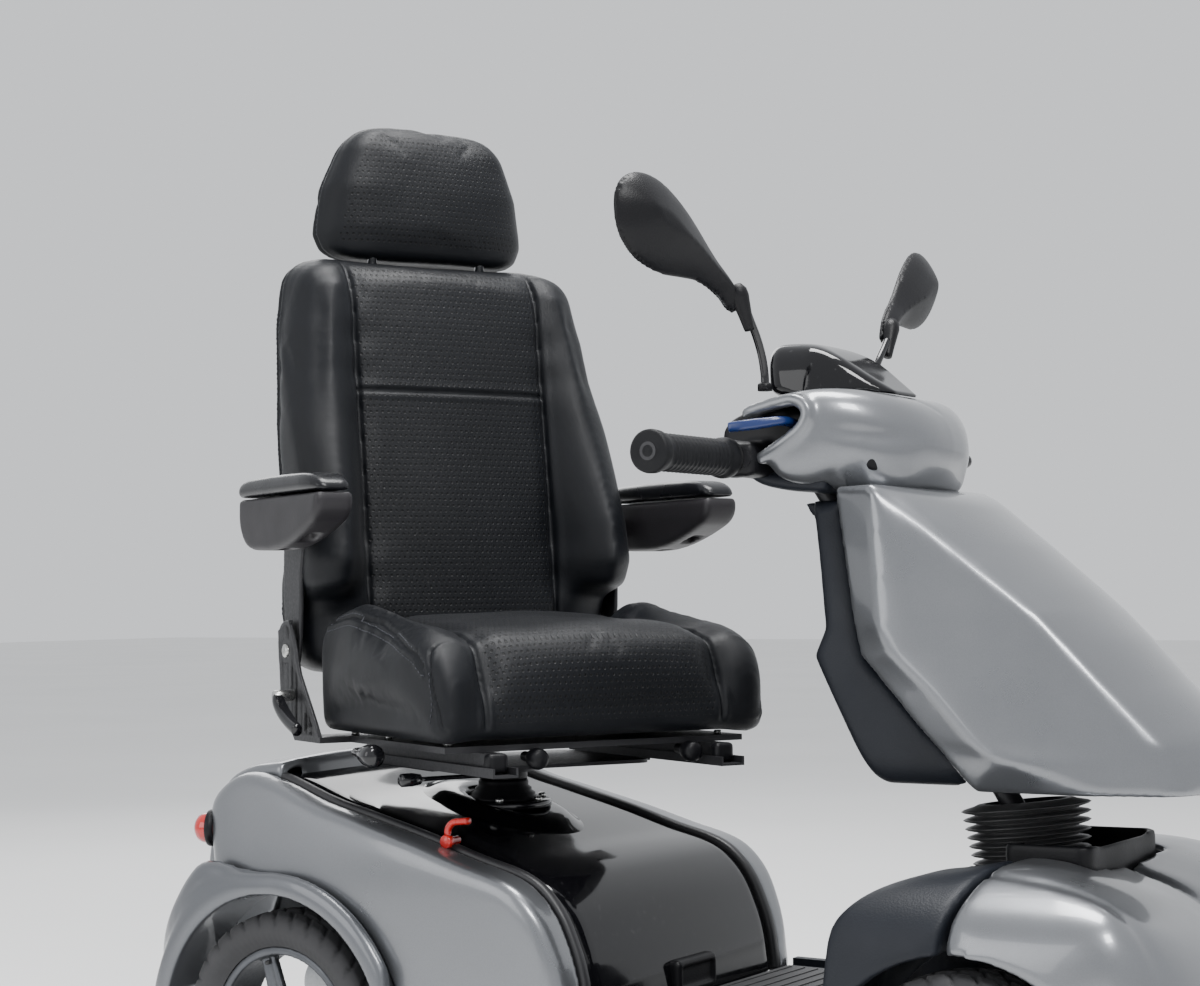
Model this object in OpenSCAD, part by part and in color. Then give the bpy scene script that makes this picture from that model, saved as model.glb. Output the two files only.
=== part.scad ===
// Four wheeled mobility scooter with a captain seat on a swivelling post.
// Front is -Y, the rider's left is +X, up is +Z. The ground is Z = 0.
// The origin is the middle of the footprint. All sizes are in millimetres.

/* [Wheels] */
// outside diameter of each tyre
tyre_d = 330; // [324:1:334]
// width of each tyre
tyre_w = 96; // [90:1:98]
// distance of a wheel's middle plane from the centre plane
track_x = 272; // [271:1:274]
// radius of the wheel disc where the tyre starts
rim_r = 118; // [110:1:122]

/* [Chassis] */
// width of a main frame rail
rail_w = 30; // [24:1:34]
// height of a main frame rail
rail_h = 40; // [34:1:44]
// diameter of the wheel axles
axle_d = 24; // [20:1:26]

/* [Steering] */
// lean of the steering axis from the vertical, in degrees
lean = 32.4; // [32.2:0.1:32.6]
// diameter of the steering column
column_d = 28; // [24:1:30]
// diameter of a hand grip
grip_d = 36; // [30:1:40]

/* [Seat] */
// angle the seat is turned to the rider's right
seat_turn = 26.5; // [20:0.5:30]
// width of the seat cushion
cushion_w = 500; // [470:5:506]
// thickness of a seat rail
rail_t = 12; // [10:1:13]
// outside diameter of the seat post
post_d = 60; // [50:1:64]

/* [Hidden] */
$fn = 48;

rear_y = 495;
front_y = -480;
wheel_z = 165;
king_x = 215;
seat_y = 350;
head_y = -440;
head_z = 450;

// ---------------------------------------------------------------- helpers

// box between two corners
module bx(a, b) { translate(a) cube([b[0] - a[0], b[1] - a[1], b[2] - a[2]]); }

// cylinder along X from x0 to x1
module cx(x0, x1, y, z, r) { translate([x0, y, z]) rotate([0, 90, 0]) cylinder(h = x1 - x0, r = r); }

// cylinder along Y from y0 to y1
module cy(y0, y1, x, z, r) { translate([x, y0, z]) rotate([-90, 0, 0]) cylinder(h = y1 - y0, r = r); }

// side profile given as [y, z] points, extruded from x0 to x1
module prof(x0, x1, pts) { translate([x0, 0, 0]) rotate([90, 0, 90]) linear_extrude(x1 - x0) polygon(pts); }

// rectangle with round corners, centred
module rsq(w, h, r) {
  square([w - 2 * r, h], center = true);
  square([w, h - 2 * r], center = true);
  for (i = [-1, 1], j = [-1, 1]) translate([i * (w / 2 - r), j * (h / 2 - r)]) circle(r);
}

// places a child in the frame of the steering axis, the axis up Z
module steer() { translate([0, head_y, head_z]) rotate([-lean, 0, 0]) children(); }

// places a child in the frame of the seat: its X to the rider's left, -Y forward
module seat() { translate([0, seat_y, 0]) rotate([0, 0, -seat_turn]) children(); }

// ---------------------------------------------------------------- wheels

module tyre(x, y) {
  s = x < 0 ? -1 : 1;
  w = tyre_w / 2;
  R = tyre_d / 2;
  color([0.06, 0.06, 0.065]) translate([x, y, wheel_z]) rotate([0, 90, 0]) difference() {
    rotate_extrude($fn = 96) polygon([
      [rim_r + 0.3, -w * 0.72], [rim_r + 8, -w * 0.86], [rim_r + 24, -w], [R - 16, -w * 0.97], [R - 5, -w * 0.84],
      [R - 0.8, -w * 0.6], [R, -w * 0.3], [R, -w * 0.1], [R - 5, -w * 0.08], [R - 5, w * 0.08], [R, w * 0.1],
      [R, w * 0.3], [R - 0.8, w * 0.6], [R - 5, w * 0.84], [R - 16, w * 0.97], [rim_r + 24, w], [rim_r + 8, w * 0.86], [rim_r + 0.3, w * 0.72]]);
  }
}

module rim(x, y) {
  s = x < 0 ? -1 : 1;
  w = tyre_w / 2;
  color([0.3, 0.31, 0.32]) translate([x, y, wheel_z]) rotate([0, 90, 0]) difference() {
    union() {
      rotate_extrude($fn = 96) polygon([
        [rim_r - 10, -w * 0.74], [rim_r - 2, -w * 0.74], [rim_r - 2, -w * 0.7], [rim_r, -w * 0.7], [rim_r, w * 0.7], [rim_r - 2, w * 0.7],
        [rim_r - 2, w * 0.74], [rim_r - 10, w * 0.74]]);
      translate([0, 0, s > 0 ? w * 0.38 : -w * 0.38 - 8]) cylinder(h = 8, r = 40);
      translate([0, 0, s > 0 ? -14 : -w * 0.74]) cylinder(h = w * 0.74 + 14, r = 25);
      for (i = [0 : 4]) rotate([0, 0, i * 72]) translate([0, -13, s > 0 ? w * 0.38 - 3 : -w * 0.38 - 7]) cube([rim_r - 6, 26, 10]);
      for (i = [0 : 4]) rotate([0, 0, 36 + i * 72]) translate([32.5, 0, s > 0 ? w * 0.38 + 4 : -w * 0.38 - 13]) cylinder(h = 9, r = 5);
    }
    translate([0, 0, -80]) cylinder(h = 160, r = axle_d / 2 + 0.08);
  }
}

module tyre_rear_right() tyre(-track_x, rear_y);
module tyre_rear_left() tyre(track_x, rear_y);
module tyre_front_right() tyre(-track_x, front_y);
module tyre_front_left() tyre(track_x, front_y);
module rim_rear_right() rim(-track_x, rear_y);
module rim_rear_left() rim(track_x, rear_y);
module rim_front_right() rim(-track_x, front_y);
module rim_front_left() rim(track_x, front_y);

// ---------------------------------------------------------------- chassis

module chassis_frame() color([0.12, 0.12, 0.13]) {
  difference() {
    union() {
      for (s = [-1, 1]) translate([s * 120 - rail_w / 2, 0, 0]) {
        bx([0, -330, 160], [rail_w, 330, 160 + rail_h]);
        bx([0, -330, 160], [rail_w, -290, 270]);
        bx([0, -690, 240], [rail_w, -290, 270]);
        bx([0, 290, 160], [rail_w, 330, 330]);
        bx([0, 290, 300], [rail_w, 690, 330]);
      }
      for (y = [-320, 0, 300]) bx([-120, y, 165], [120, y + 25, 195]);
      bx([-120, -690, 241], [120, -660, 269]);
      bx([-120, -526, 241], [120, -494, 269]);
      bx([-120, 660, 301], [120, 689, 329]);
      bx([-120, 290, 301], [120, 410, 329]);
      translate([0, seat_y, 300]) cylinder(h = 96, r = post_d / 2 + 8);
      steer() translate([0, 0, -220]) cylinder(h = 175, r = column_d / 2 + 9);
      bx([-20, -542, 262], [20, -492, 300]);
    }
    translate([0, seat_y, 290]) cylinder(h = 130, r = post_d / 2 - 6);
    steer() translate([0, 0, -260]) cylinder(h = 240, r = column_d / 2 + 0.08);
  }
}

module floorboard() color([0.16, 0.17, 0.19]) difference() {
  union() {
    bx([-300, -270, 201], [300, 44, 212]);
    for (s = [-1, 1]) translate([s * 292 - 8, 0, 0]) bx([0, -270, 170], [16, 44, 222]);
    bx([-300, -276, 201], [300, -262, 240]);
  }
  for (s = [-1, 1], y = [-220, -20]) translate([s * 275, y, 190]) cylinder(h = 40, r = 4);
}

module floor_mat() color([0.1, 0.1, 0.11]) {
  bx([-262, -256, 212.3], [262, 38, 215.5]);
  for (i = [0 : 13]) translate([0, -246 + i * 21, 215]) bx([-250, 0, 0], [250, 8, 2]);
}

function shoulder() = [[45, 214], [52, 260], [66, 301], [88, 348], [118, 377], [148, 393], [210, 408],
  [290, 432], [390, 456], [458, 473], [530, 499]];

module side_panel(s) color([0.62, 0.64, 0.66]) {
  m = s < 0 ? [1, 0, 0] : [0, 0, 0];
  mirror(m) difference() {
    intersection() {
      prof(249, 310, concat(shoulder(), [[592, 507], [640, 476], [652, 455], [652, 427], [636, 390], [625, 200], [45, 180]]));
      // the side leans in towards the top and towards both ends
      translate([0, 0, 100]) linear_extrude(500) polygon([[249, 0], [286, 40], [306, 90], [310, 200], [310, 560], [296, 620], [270, 660], [249, 660]]);
      rotate([90, 0, 0]) translate([0, 0, -700]) linear_extrude(700) polygon([[240, 150], [310, 150], [310, 380], [296, 440], [272, 520], [240, 520]]);
    }
    // inner space, one wall thickness inside the skin
    intersection() {
      prof(240, 305, concat([for (p = shoulder()) [p[0] + 5, p[1] - 6]], [[590, 500], [635, 471], [647, 452], [647, 430], [631, 392], [620, 150], [50, 150]]));
      linear_extrude(700) polygon([[240, 0], [249, 0], [281, 43], [301, 92], [305, 200], [305, 559], [291, 617], [266, 655], [240, 655]]);
      rotate([90, 0, 0]) translate([0, 0, -700]) linear_extrude(700) polygon([[240, 100], [305, 100], [305, 378], [291, 438], [268, 514], [240, 514]]);
    }
    // wheel arch
    cx(200, 340, rear_y, wheel_z, 205);
  }
}
module side_panel_right() side_panel(-1);
module side_panel_left() side_panel(1);

module rear_fender(s) color([0.5, 0.52, 0.54]) {
  m = s < 0 ? [1, 0, 0] : [0, 0, 0];
  mirror(m) difference() {
    union() {
      cx(246, 332, rear_y, wheel_z, 204.5);
      difference() {
        intersection() {
        prof(246, 328, [[495, 165], [495, 369], [597, 393], [612, 392], [628, 388], [647, 374], [675, 344], [703, 308], [722, 277], [728, 249], [728, 200], [600, 200]]);
        translate([0, 0, 100]) linear_extrude(400) polygon([[246, 400], [332, 400], [332, 640], [318, 690], [290, 728], [246, 728]]);
        }
        // the side panel stands here
        prof(240, 310.5, [[400, 150], [400, 420], [592, 508], [640.5, 476.5], [652.6, 455.2], [652.6, 426.8], [636.6, 389.8], [625.6, 200], [622, 150]]);
      }
    }
    cx(240, 345, rear_y, wheel_z, 186);
    bx([240, 0, 0], [345, 300, 400]);
    bx([240, 200, -100], [345, 800, 205]);
    // room behind the panel
    prof(240, 300, [[600, 150], [650, 300], [640, 360], [600, 380], [610, 392], [626, 382], [645, 368], [672, 338], [699, 302], [716, 275], [722, 249], [722, 150]]);
  }
}
module rear_fender_right() rear_fender(-1);
module rear_fender_left() rear_fender(1);

module rear_deck() color([0.62, 0.64, 0.66]) difference() {
  union() {
    prof(-245.5, 245.5, [[545, 505], [545, 529], [624, 522], [665, 501], [690, 455], [702, 380], [708, 300], [705, 250],
      [700, 250], [703, 300], [697, 379], [685, 452], [661, 496], [622, 516], [551, 523], [551, 505]]);
    for (s = [-1, 1]) translate([s * 243.5 - 2, 0, 0]) prof(0, 4, [[545, 480], [545, 529], [624, 522], [665, 501], [690, 455], [702, 380], [690, 380], [660, 400]]);
  }
  for (i = [-1.5, -0.5, 0.5, 1.5]) translate([i * 30, 600, 500]) linear_extrude(60) rsq(8, 30, 3.9);
}

module tail_lamp(s) color([0.7, 0.05, 0.05]) {
  m = s < 0 ? [1, 0, 0] : [0, 0, 0];
  mirror(m) intersection() {
    translate([268, 650, 430]) rotate([0, 90, 0]) cylinder(h = 24, r = 22);
    bx([262, 653.5, 405], [296, 680, 455]);
  }
}
module tail_lamp_right() tail_lamp(-1);
module tail_lamp_left() tail_lamp(1);

module centre_hood() color([0.03, 0.03, 0.035]) difference() {
  union() {
    prof(-232, 232, concat([for (p = shoulder()) [p[0], p[1] - 1]], [[540, 499], [540, 480], [524, 480], [454, 466],
      [388, 449], [288, 425], [212, 401], [152, 387], [122, 371], [94, 344], [72, 299], [58, 259], [51, 214]]));
    // socket housing low on the front
    translate([0, 46, 240]) rotate([90, 0, 0]) linear_extrude(26, center = true) rsq(100, 44, 8);
  }
  translate([0, seat_y, 300]) cylinder(h = 260, r = post_d / 2 + 14);
  bx([-46, 52, 200], [46, 80, 270]);
}

module hood_trim(s) color([0.07, 0.07, 0.075]) {
  m = s < 0 ? [1, 0, 0] : [0, 0, 0];
  mirror(m) difference() {
    prof(232.4, 248.6, concat([for (p = shoulder()) [p[0] - 3, p[1] + 4]], [[540, 503], [540, 470], [454, 456], [388, 440], [288, 416], [212, 392], [152, 377], [130, 365], [102, 337], [80, 292], [66, 252], [60, 214]]));
    if (s < 0) bx([220, 236, 420], [260, 276, 500]);
  }
}
module hood_trim_right() hood_trim(-1);
module hood_trim_left() hood_trim(1);

module battery(s) color([0.09, 0.09, 0.1]) translate([s * 99, 185, 0]) {
  translate([0, 0, 203]) linear_extrude(128) rsq(176, 180, 6);
  translate([0, 0, 331]) linear_extrude(10) rsq(170, 174, 6);
  for (i = [-1, 1]) translate([i * 60, -60, 340]) cylinder(h = 6, r = 9);
  translate([0, 0, 341]) linear_extrude(6) rsq(90, 18, 5);
}
module battery_right() battery(-1);
module battery_left() battery(1);

module transaxle() color([0.45, 0.46, 0.47]) {
  difference() {
    union() {
      cx(-238, 238, rear_y, wheel_z, 20);
      cx(-316, 316, rear_y, wheel_z, axle_d / 2);
      cx(-45, 45, rear_y, wheel_z, 62);
      cx(-60, 60, rear_y, wheel_z, 40);
      cy(rear_y + 40, rear_y + 178, 0, wheel_z + 14, 46);
      cy(rear_y + 178, rear_y + 196, 0, wheel_z + 14, 34);
      for (s = [-1, 1]) bx([s * 120 - 13, rear_y - 24, wheel_z - 12], [s * 120 + 13, rear_y + 24, 300]);
    }
    for (s = [-1, 1]) cx(s * 120 - 20, s * 120 + 20, rear_y, 262, 6);
  }
}

module front_cowl() color([0.62, 0.64, 0.66]) difference() {
  intersection() {
    prof(-328, 328, [[-455, 341], [-459, 371], [-472, 410], [-484, 443], [-520, 440], [-560, 432], [-640, 405], [-700, 362], [-742, 310], [-752, 250], [-744, 200], [-455, 200]]);
    translate([0, 0, 100]) linear_extrude(500) polygon([[-328, -440], [328, -440], [328, -600], [300, -680], [230, -730], [120, -750], [-120, -750], [-230, -730], [-300, -680], [-328, -600]]);
    rotate([90, 0, 0]) linear_extrude(800) polygon([[-328, 150], [-328, 330], [-312, 380], [-270, 420], [-180, 446], [180, 446], [270, 420], [312, 380], [328, 330], [328, 150]]);
  }
  // inner space
  for (s = [-1, 1]) cx(s > 0 ? 139 : -312, s > 0 ? 312 : -139, front_y, wheel_z, 206);
  for (s = [-1, 1]) cx(s > 0 ? 300 : -340, s > 0 ? 340 : -300, front_y, wheel_z, 184);
  prof(-135.6, 135.6, [[-440, 150], [-440, 400], [-480, 432], [-555, 424], [-635, 397], [-692, 356], [-731, 306], [-740, 250], [-733, 150]]);
  bx([-130, -560, 380], [130, -440, 470]);
  bx([-400, -800, 90], [400, -440, 205]);
}

module front_fender(s) color([0.17, 0.18, 0.2]) {
  m = s < 0 ? [1, 0, 0] : [0, 0, 0];
  mirror(m) difference() {
    intersection() {
      prof(135.6, 326, [[-282, 240.5], [-300, 270], [-311, 303], [-315, 333], [-325, 372], [-350, 402], [-388, 420], [-440, 428], [-483, 442], [-471, 409], [-458, 371], [-454, 341], [-454, 240.5]]);
      translate([0, 0, 100]) linear_extrude(500) polygon([[135.6, -282], [290, -282], [318, -320], [326, -380], [326, -500], [135.6, -500]]);
      rotate([90, 0, 0]) linear_extrude(800) polygon([[135.6, 150], [326, 150], [326, 330], [311, 380], [269, 419], [180, 445], [135.6, 445]]);
    }
    cx(139, 312, front_y, wheel_z, 206);
    cx(300, 340, front_y, wheel_z, 184);
  }
}
module front_fender_right() front_fender(-1);
module front_fender_left() front_fender(1);

module front_axle() color([0.2, 0.2, 0.21]) {
  bx([-196, front_y - 18, 150], [196, front_y + 18, 180]);
  for (s = [-1, 1]) {
    bx([s * 120 - 13, front_y - 16, 175], [s * 120 + 13, front_y + 16, 240]);
    for (z = [128, 192]) translate([s * king_x, front_y, z]) cylinder(h = 10, r = 15);
    translate([s * king_x, front_y, 128]) cylinder(h = 74, r = 7);
    for (z = [128, 192]) bx([s * 198 - 17, front_y - 14, z], [s * 198 + 17, front_y + 14, z + 10]);
    bx([s * 188 - 7, front_y - 14, 128], [s * 188 + 7, front_y + 14, 202]);
  }
}

module knuckle(s) color([0.26, 0.26, 0.27]) {
  m = s < 0 ? [1, 0, 0] : [0, 0, 0];
  mirror(m) difference() {
    union() {
      translate([king_x, front_y, 138.3]) cylinder(h = 53.4, r = 15);
      cx(king_x + 8, 316, front_y, wheel_z, axle_d / 2);
      // arm to the track rod
      translate([king_x, front_y, 139]) linear_extrude(10) polygon([[-10, 8], [10, 8], [9, 66], [-9, 66]]);
      translate([king_x, front_y + 66, 139]) cylinder(h = 10, r = 11);
      translate([king_x, front_y + 66, 120]) cylinder(h = 22, r = 5);
    }
    translate([king_x, front_y, 100]) cylinder(h = 130, r = 7.08);
  }
}
module knuckle_right() knuckle(-1);
module knuckle_left() knuckle(1);

module tie_rod() color([0.5, 0.51, 0.52]) difference() {
  union() {
    cx(-king_x + 8, king_x - 8, front_y + 66, 129, 6);
    for (s = [-1, 1]) translate([s * king_x, front_y + 66, 122]) cylinder(h = 14, r = 11);
  }
  for (s = [-1, 1]) translate([s * king_x, front_y + 66, 100]) cylinder(h = 60, r = 5.3);
}

module seat_post() color([0.1, 0.1, 0.11]) {
  translate([0, seat_y, 330]) cylinder(h = 66, r = post_d / 2 - 6.4);
  translate([0, seat_y, 396.3]) cylinder(h = 12, r = post_d / 2 + 13);
  translate([0, seat_y, 396]) cylinder(h = 104, r = post_d / 2 - 2);
  for (i = [0 : 3]) rotate([0, 0, 0]) translate([cos(45 + i * 90) * 37, seat_y + sin(45 + i * 90) * 37, 408]) cylinder(h = 6, r = 4.5);
  translate([0, seat_y, 490]) cylinder(h = 10, r = post_d / 2 + 4);
}

module freewheel_lever() color([0.75, 0.05, 0.04]) {
  cx(-252, -234, 255, 430, 6);
  cx(-262, -249.5, 255, 430, 6);
  prof(-262, -249.5, [[250.5, 430], [259.5, 430], [259, 450], [267, 451], [267, 458], [223, 458], [223, 451], [251, 450]]);
}

// ---------------------------------------------------------------- steering

module steering_column() color([0.15, 0.15, 0.16]) steer() {
  difference() {
    union() {
      translate([0, 0, -226]) cylinder(h = 330, r = column_d / 2);
      translate([0, 0, -42]) cylinder(h = 8, r = column_d / 2 + 10);
      translate([-14, -14, 84]) cube([28, 28, 50]);
    }
    translate([-60, 0, 112]) rotate([0, 90, 0]) cylinder(h = 120, r = 8.08);
  }
  translate([-14, -20, -236]) cube([28, 60, 10]);
}

module boot() color([0.05, 0.05, 0.055]) steer() difference() {
  union() {
    for (i = [0 : 4]) translate([0, 0, -30 + i * 15]) rotate_extrude() polygon([[40, 0], [76 - i * 1.5, 0], [80 - i * 1.5, 4], [76 - i * 1.5, 8], [60, 15], [40, 15]]);
  }
  translate([0, 0, -40]) cylinder(h = 100, r = 50);
}

module tiller_shield() color([0.62, 0.64, 0.66]) difference() {
  intersection() {
    prof(-190, 190, [[-253, 872], [-280, 725], [-292, 671], [-318, 642], [-369, 584], [-407, 544], [-438, 512], [-660, 514], [-700, 524], [-706, 548], [-690, 580], [-652, 623], [-594, 687], [-533, 746], [-471, 802], [-388, 866], [-328, 876]]);
    rotate([90, 0, 0]) linear_extrude(800) polygon([[-150, 512], [-172, 530], [-190, 556], [-190, 700], [-168, 872], [-150, 878], [150, 878], [168, 872], [190, 700], [190, 556], [172, 530], [150, 512]]);
    translate([0, 0, 400]) linear_extrude(600) polygon([[-190, -240], [190, -240], [190, -480], [160, -640], [120, -690], [60, -708], [-60, -708], [-120, -690], [-160, -640], [-190, -480]]);
  }
  intersection() {
    prof(-182, 182, [[-200, 884], [-200, 500], [-655, 500], [-655, 522], [-692, 530], [-697, 548], [-682, 576], [-645, 617], [-588, 680], [-527, 739], [-466, 794], [-386, 857], [-380, 884]]);
    rotate([90, 0, 0]) linear_extrude(800) polygon([[-142, 400], [-142, 519], [-165, 535], [-182, 559], [-182, 700], [-160, 900], [160, 900], [182, 700], [182, 559], [165, 535], [142, 519], [142, 400]]);
    translate([0, 0, 400]) linear_extrude(600) polygon([[-182, -100], [182, -100], [182, -480], [153, -637], [115, -684], [58, -700], [-58, -700], [-115, -684], [-153, -637], [-182, -480]]);
  }
  // seat of the headlamp
  translate([0, -655, 556]) rotate([90, 0, 0]) cylinder(h = 95, r = 30);
}

module leg_shield() color([0.16, 0.17, 0.2]) difference() {
  union() {
  // spine that covers the stem
  prof(-32, 32, [[-228, 740], [-151, 862], [-250, 862], [-270, 740]]);
  intersection() {
    prof(-136, 136, [[-205, 860], [-229, 703], [-212, 669], [-284, 520], [-300, 512], [-408, 512], [-406, 540], [-368, 580], [-317, 638], [-290, 668], [-278, 724], [-252, 860]]);
    rotate([90, 0, 0]) linear_extrude(600) polygon([[-105, 510], [-136, 560], [-136, 700], [-112, 862], [112, 862], [136, 700], [136, 560], [105, 510]]);
  }
  }
  steer() translate([0, 0, 160]) cylinder(h = 500, r = 17.5);
  intersection() {
    prof(-130, 130, [[-212, 880], [-235, 703], [-219, 670], [-288, 526], [-302, 500], [-440, 500], [-440, 540], [-300, 660], [-250, 880]]);
    rotate([90, 0, 0]) linear_extrude(600) polygon([[-99, 490], [-130, 560], [-130, 700], [-106, 890], [106, 890], [130, 700], [130, 560], [99, 490]]);
  }
}

module tiller_head() color([0.62, 0.64, 0.66]) difference() {
  intersection() {
    prof(-172, 172, [[-104, 948], [-132, 979], [-150, 990], [-250, 1001], [-320, 1000], [-360, 984], [-400, 956], [-416, 925], [-406, 898], [-372, 882], [-330, 879], [-250, 876.5], [-208, 873.5], [-165, 876], [-150, 900], [-140, 925]]);
    translate([0, 0, 800]) linear_extrude(300) polygon([[-172, -95], [172, -95], [172, -250], [150, -350], [110, -400], [60, -420], [-60, -420], [-110, -400], [-150, -350], [-172, -250]]);
  }
  // hand opening on both sides
  prof(-200, 200, [[-95, 952], [-135, 958], [-195, 964], [-222, 950], [-215, 925], [-190, 902], [-160, 896], [-154, 882], [-95, 882]]);
  // inside, open towards the rider
  intersection() {
    prof(-164, 164, [[-90, 951], [-140, 963], [-157, 978], [-250, 991], [-318, 990], [-354, 975], [-391, 950], [-404, 925], [-396, 906], [-368, 892], [-330, 888], [-250, 886], [-208, 883], [-172, 885], [-155, 902], [-90, 901]]);
    translate([0, 0, 800]) linear_extrude(300) polygon([[-164, -80], [164, -80], [164, -251], [143, -346], [105, -392], [57, -411], [-57, -411], [-105, -392], [-143, -346], [-164, -251]]);
  }
  // sockets of the two mirrors
  for (s = [-1, 1]) translate([s * 146, -160, 960]) cylinder(h = 60, r = 6.1);
  steer() cylinder(h = 600, r = 40);
}

module dash() color([0.03, 0.03, 0.035]) difference() {
  intersection() {
    prof(-96, 96, [[-150, 991], [-119, 1008], [-119, 1060], [-129, 1070], [-180, 1064], [-220, 1044], [-297, 1002.5], [-250, 1001.5]]);
    rotate([90, 0, 0]) linear_extrude(600) polygon([[-96, 980], [-96, 1020], [-84, 1052], [-60, 1070], [60, 1070], [84, 1052], [96, 1020], [96, 980]]);
  }
  translate([-60, -124, 1020]) bx([0, 0, 0], [120, 10, 36]);
  bx([20, -140, 994], [60, -116, 1034]);
}

module speed_dial() color([0.12, 0.12, 0.13]) {
  cy(-137, -112, 40, 1014, 14);
  cy(-114, -106, 40, 1014, 11);
  bx([38.5, -108, 1014], [41.5, -104, 1026]);
}

module handlebar() color([0.08, 0.08, 0.085]) {
  difference() {
    union() {
      steer() translate([0, 0, 136]) cylinder(h = 408, r = 15);
      steer() for (s = [-1, 1]) translate([s * 21 - 6, -15, 96]) cube([12, 30, 62]);
      steer() translate([-27, -15, 136]) cube([54, 30, 22]);
      steer() translate([-27, 0, 112]) rotate([0, 90, 0]) cylinder(h = 54, r = 8);
      // pin the thumb lever turns on
      steer() translate([0, -44, 516]) cylinder(h = 50, r = 4);
      steer() translate([-8, -50, 514]) cube([16, 50, 14]);
      // cross bar, swept back to the grips
      cx(-185, 185, -149, 912, 11);
      for (s = [-1, 1]) {
        cx(s > 0 ? 180 : -372, s > 0 ? 372 : -180, -128, 913, 11);
        bx([s * 180 - 8, -152, 902], [s * 180 + 8, -125, 924]);
        cx(s > 0 ? 160 : -186, s > 0 ? 186 : -160, -128, 913, 21);
      }
    }
  }
}

module grip(s) color([0.07, 0.07, 0.075]) {
  m = s < 0 ? [1, 0, 0] : [0, 0, 0];
  mirror(m) difference() {
    union() {
      cx(190, 352, -128, 913, grip_d / 2);
      cx(352, 372, -128, 913, grip_d / 2 + 4);
      for (i = [0 : 7]) cx(205 + i * 17, 211 + i * 17, -128, 913, grip_d / 2 + 1.5);
    }
    cx(150, 372, -128, 913, 11.05);
  }
}
module grip_right() grip(-1);
module grip_left() grip(1);

module throttle_lever() color([0.06, 0.22, 0.6]) steer() {
  difference() {
    translate([0, -44, 548]) cylinder(h = 14, r = 18);
    translate([0, -44, 546]) cylinder(h = 18, r = 4.08);
  }
  for (s = [-1, 1]) mirror(s < 0 ? [1, 0, 0] : [0, 0, 0]) {
    translate([14, -50, 550]) cube([160, 12, 9]);
    translate([192, -52, 554.5]) linear_extrude(8, center = true) rsq(38, 44, 12);
  }
}

module brake_lever() color([0.05, 0.05, 0.055]) {
  translate([168, -176, 913]) cylinder(h = 10, r = 12);
  translate([168, 0, 918]) rotate([0, -4, 0]) translate([-168, 0, -4]) linear_extrude(8) polygon([[164, -180], [172, -168], [240, -180], [350, -200], [350, -212], [236, -196]]);
  translate([352, -206, 931]) sphere(11);
}

// outline of a mirror head, [across, up] from its neck
function mir() = [[-10, 1096], [10, 1133], [44, 1157], [88, 1199], [150, 1237], [196, 1239], [227, 1208], [218, 1160], [198, 1139], [147, 1121], [78, 1120], [35, 1102], [12, 1086]];
function mir_in(k) = [for (p = mir()) [110 + (p[0] - 110) * k, 1166 + (p[1] - 1166) * k]];
module mirror_place(s) mirror(s < 0 ? [1, 0, 0] : [0, 0, 0]) translate([202, -149, 0]) rotate([0, 0, 8.2]) children();

module mirror_head(s) {
  m = s < 0 ? [1, 0, 0] : [0, 0, 0];
  mirror(m) {
    // threaded foot, then the stalk
    translate([146, -160, 978]) cylinder(h = 26, r = 6);
    translate([146, -160, 998]) cylinder(h = 8, r = 9);
    translate([146, -160, 1000]) rotate([0, 29.5, 0]) cylinder(h = 122, r = 5);
    translate([196, -168, 1090]) rotate([0, 29.5, 0]) cylinder(h = 26, r = 11);
  }
  mirror_place(s) difference() {
    rotate([90, 0, 0]) linear_extrude(34) polygon(mir());
    translate([0, 8, 0]) rotate([90, 0, 0]) linear_extrude(15) polygon(mir_in(0.86));
  }
}
module mirror_right() color([0.05, 0.05, 0.055]) mirror_head(-1);
module mirror_left() color([0.05, 0.05, 0.055]) mirror_head(1);
module mirror_glass(s) color([0.75, 0.78, 0.8]) mirror_place(s) translate([0, -3.7, 0]) rotate([90, 0, 0]) linear_extrude(3) polygon(mir_in(0.85));
module mirror_glass_right() mirror_glass(-1);
module mirror_glass_left() mirror_glass(1);

module headlamp() color([0.85, 0.87, 0.9]) intersection() {
  translate([0, -672, 556]) rotate([90, 0, 0]) cylinder(h = 36, r = 29.6);
  translate([0, -560, 556]) sphere(145, $fn = 96);
}

// ---------------------------------------------------------------- seat

module swivel_base() color([0.09, 0.09, 0.1]) seat() {
  translate([0, 0, 500.3]) cylinder(h = 14, r = 46);
  translate([0, -40, 514]) linear_extrude(5) rsq(300, 240, 20);
  for (s = [-1, 1]) translate([s * 170 - 18, 0, 0]) {
    bx([0, -330, 519], [36, 80, 522]);
    bx([0, -330, 519], [3, 80, 519 + rail_t]);
    bx([33, -330, 519], [36, 80, 519 + rail_t]);
  }
  for (s = [-1, 1]) translate([s * 148 - 22, 0, 0]) bx([0, -120, 514], [44, 60, 519.1]);
}

module seat_frame() color([0.13, 0.13, 0.14]) seat() {
  for (s = [-1, 1]) translate([s * 170 - 10, 0, 0]) {
    bx([0, -300, 524], [20, 42, 548]);
  }
  bx([-225, -270, 548], [225, 90, 556]);
  // side plates up to the back rest hinge
  for (s = [-1, 1]) translate([s * 268 - 3, 0, 0]) difference() {
    prof(0, 6, [[20, 548], [110, 548], [160, 600], [170, 700], [130, 715], [95, 640], [40, 575]]);
    cx(-5, 15, 140, 672, 10.1);
  }
  for (s = [-1, 1]) bx([s * 245 - 26, 20, 548], [s * 245 + 26, 90, 556]);
}

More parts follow.
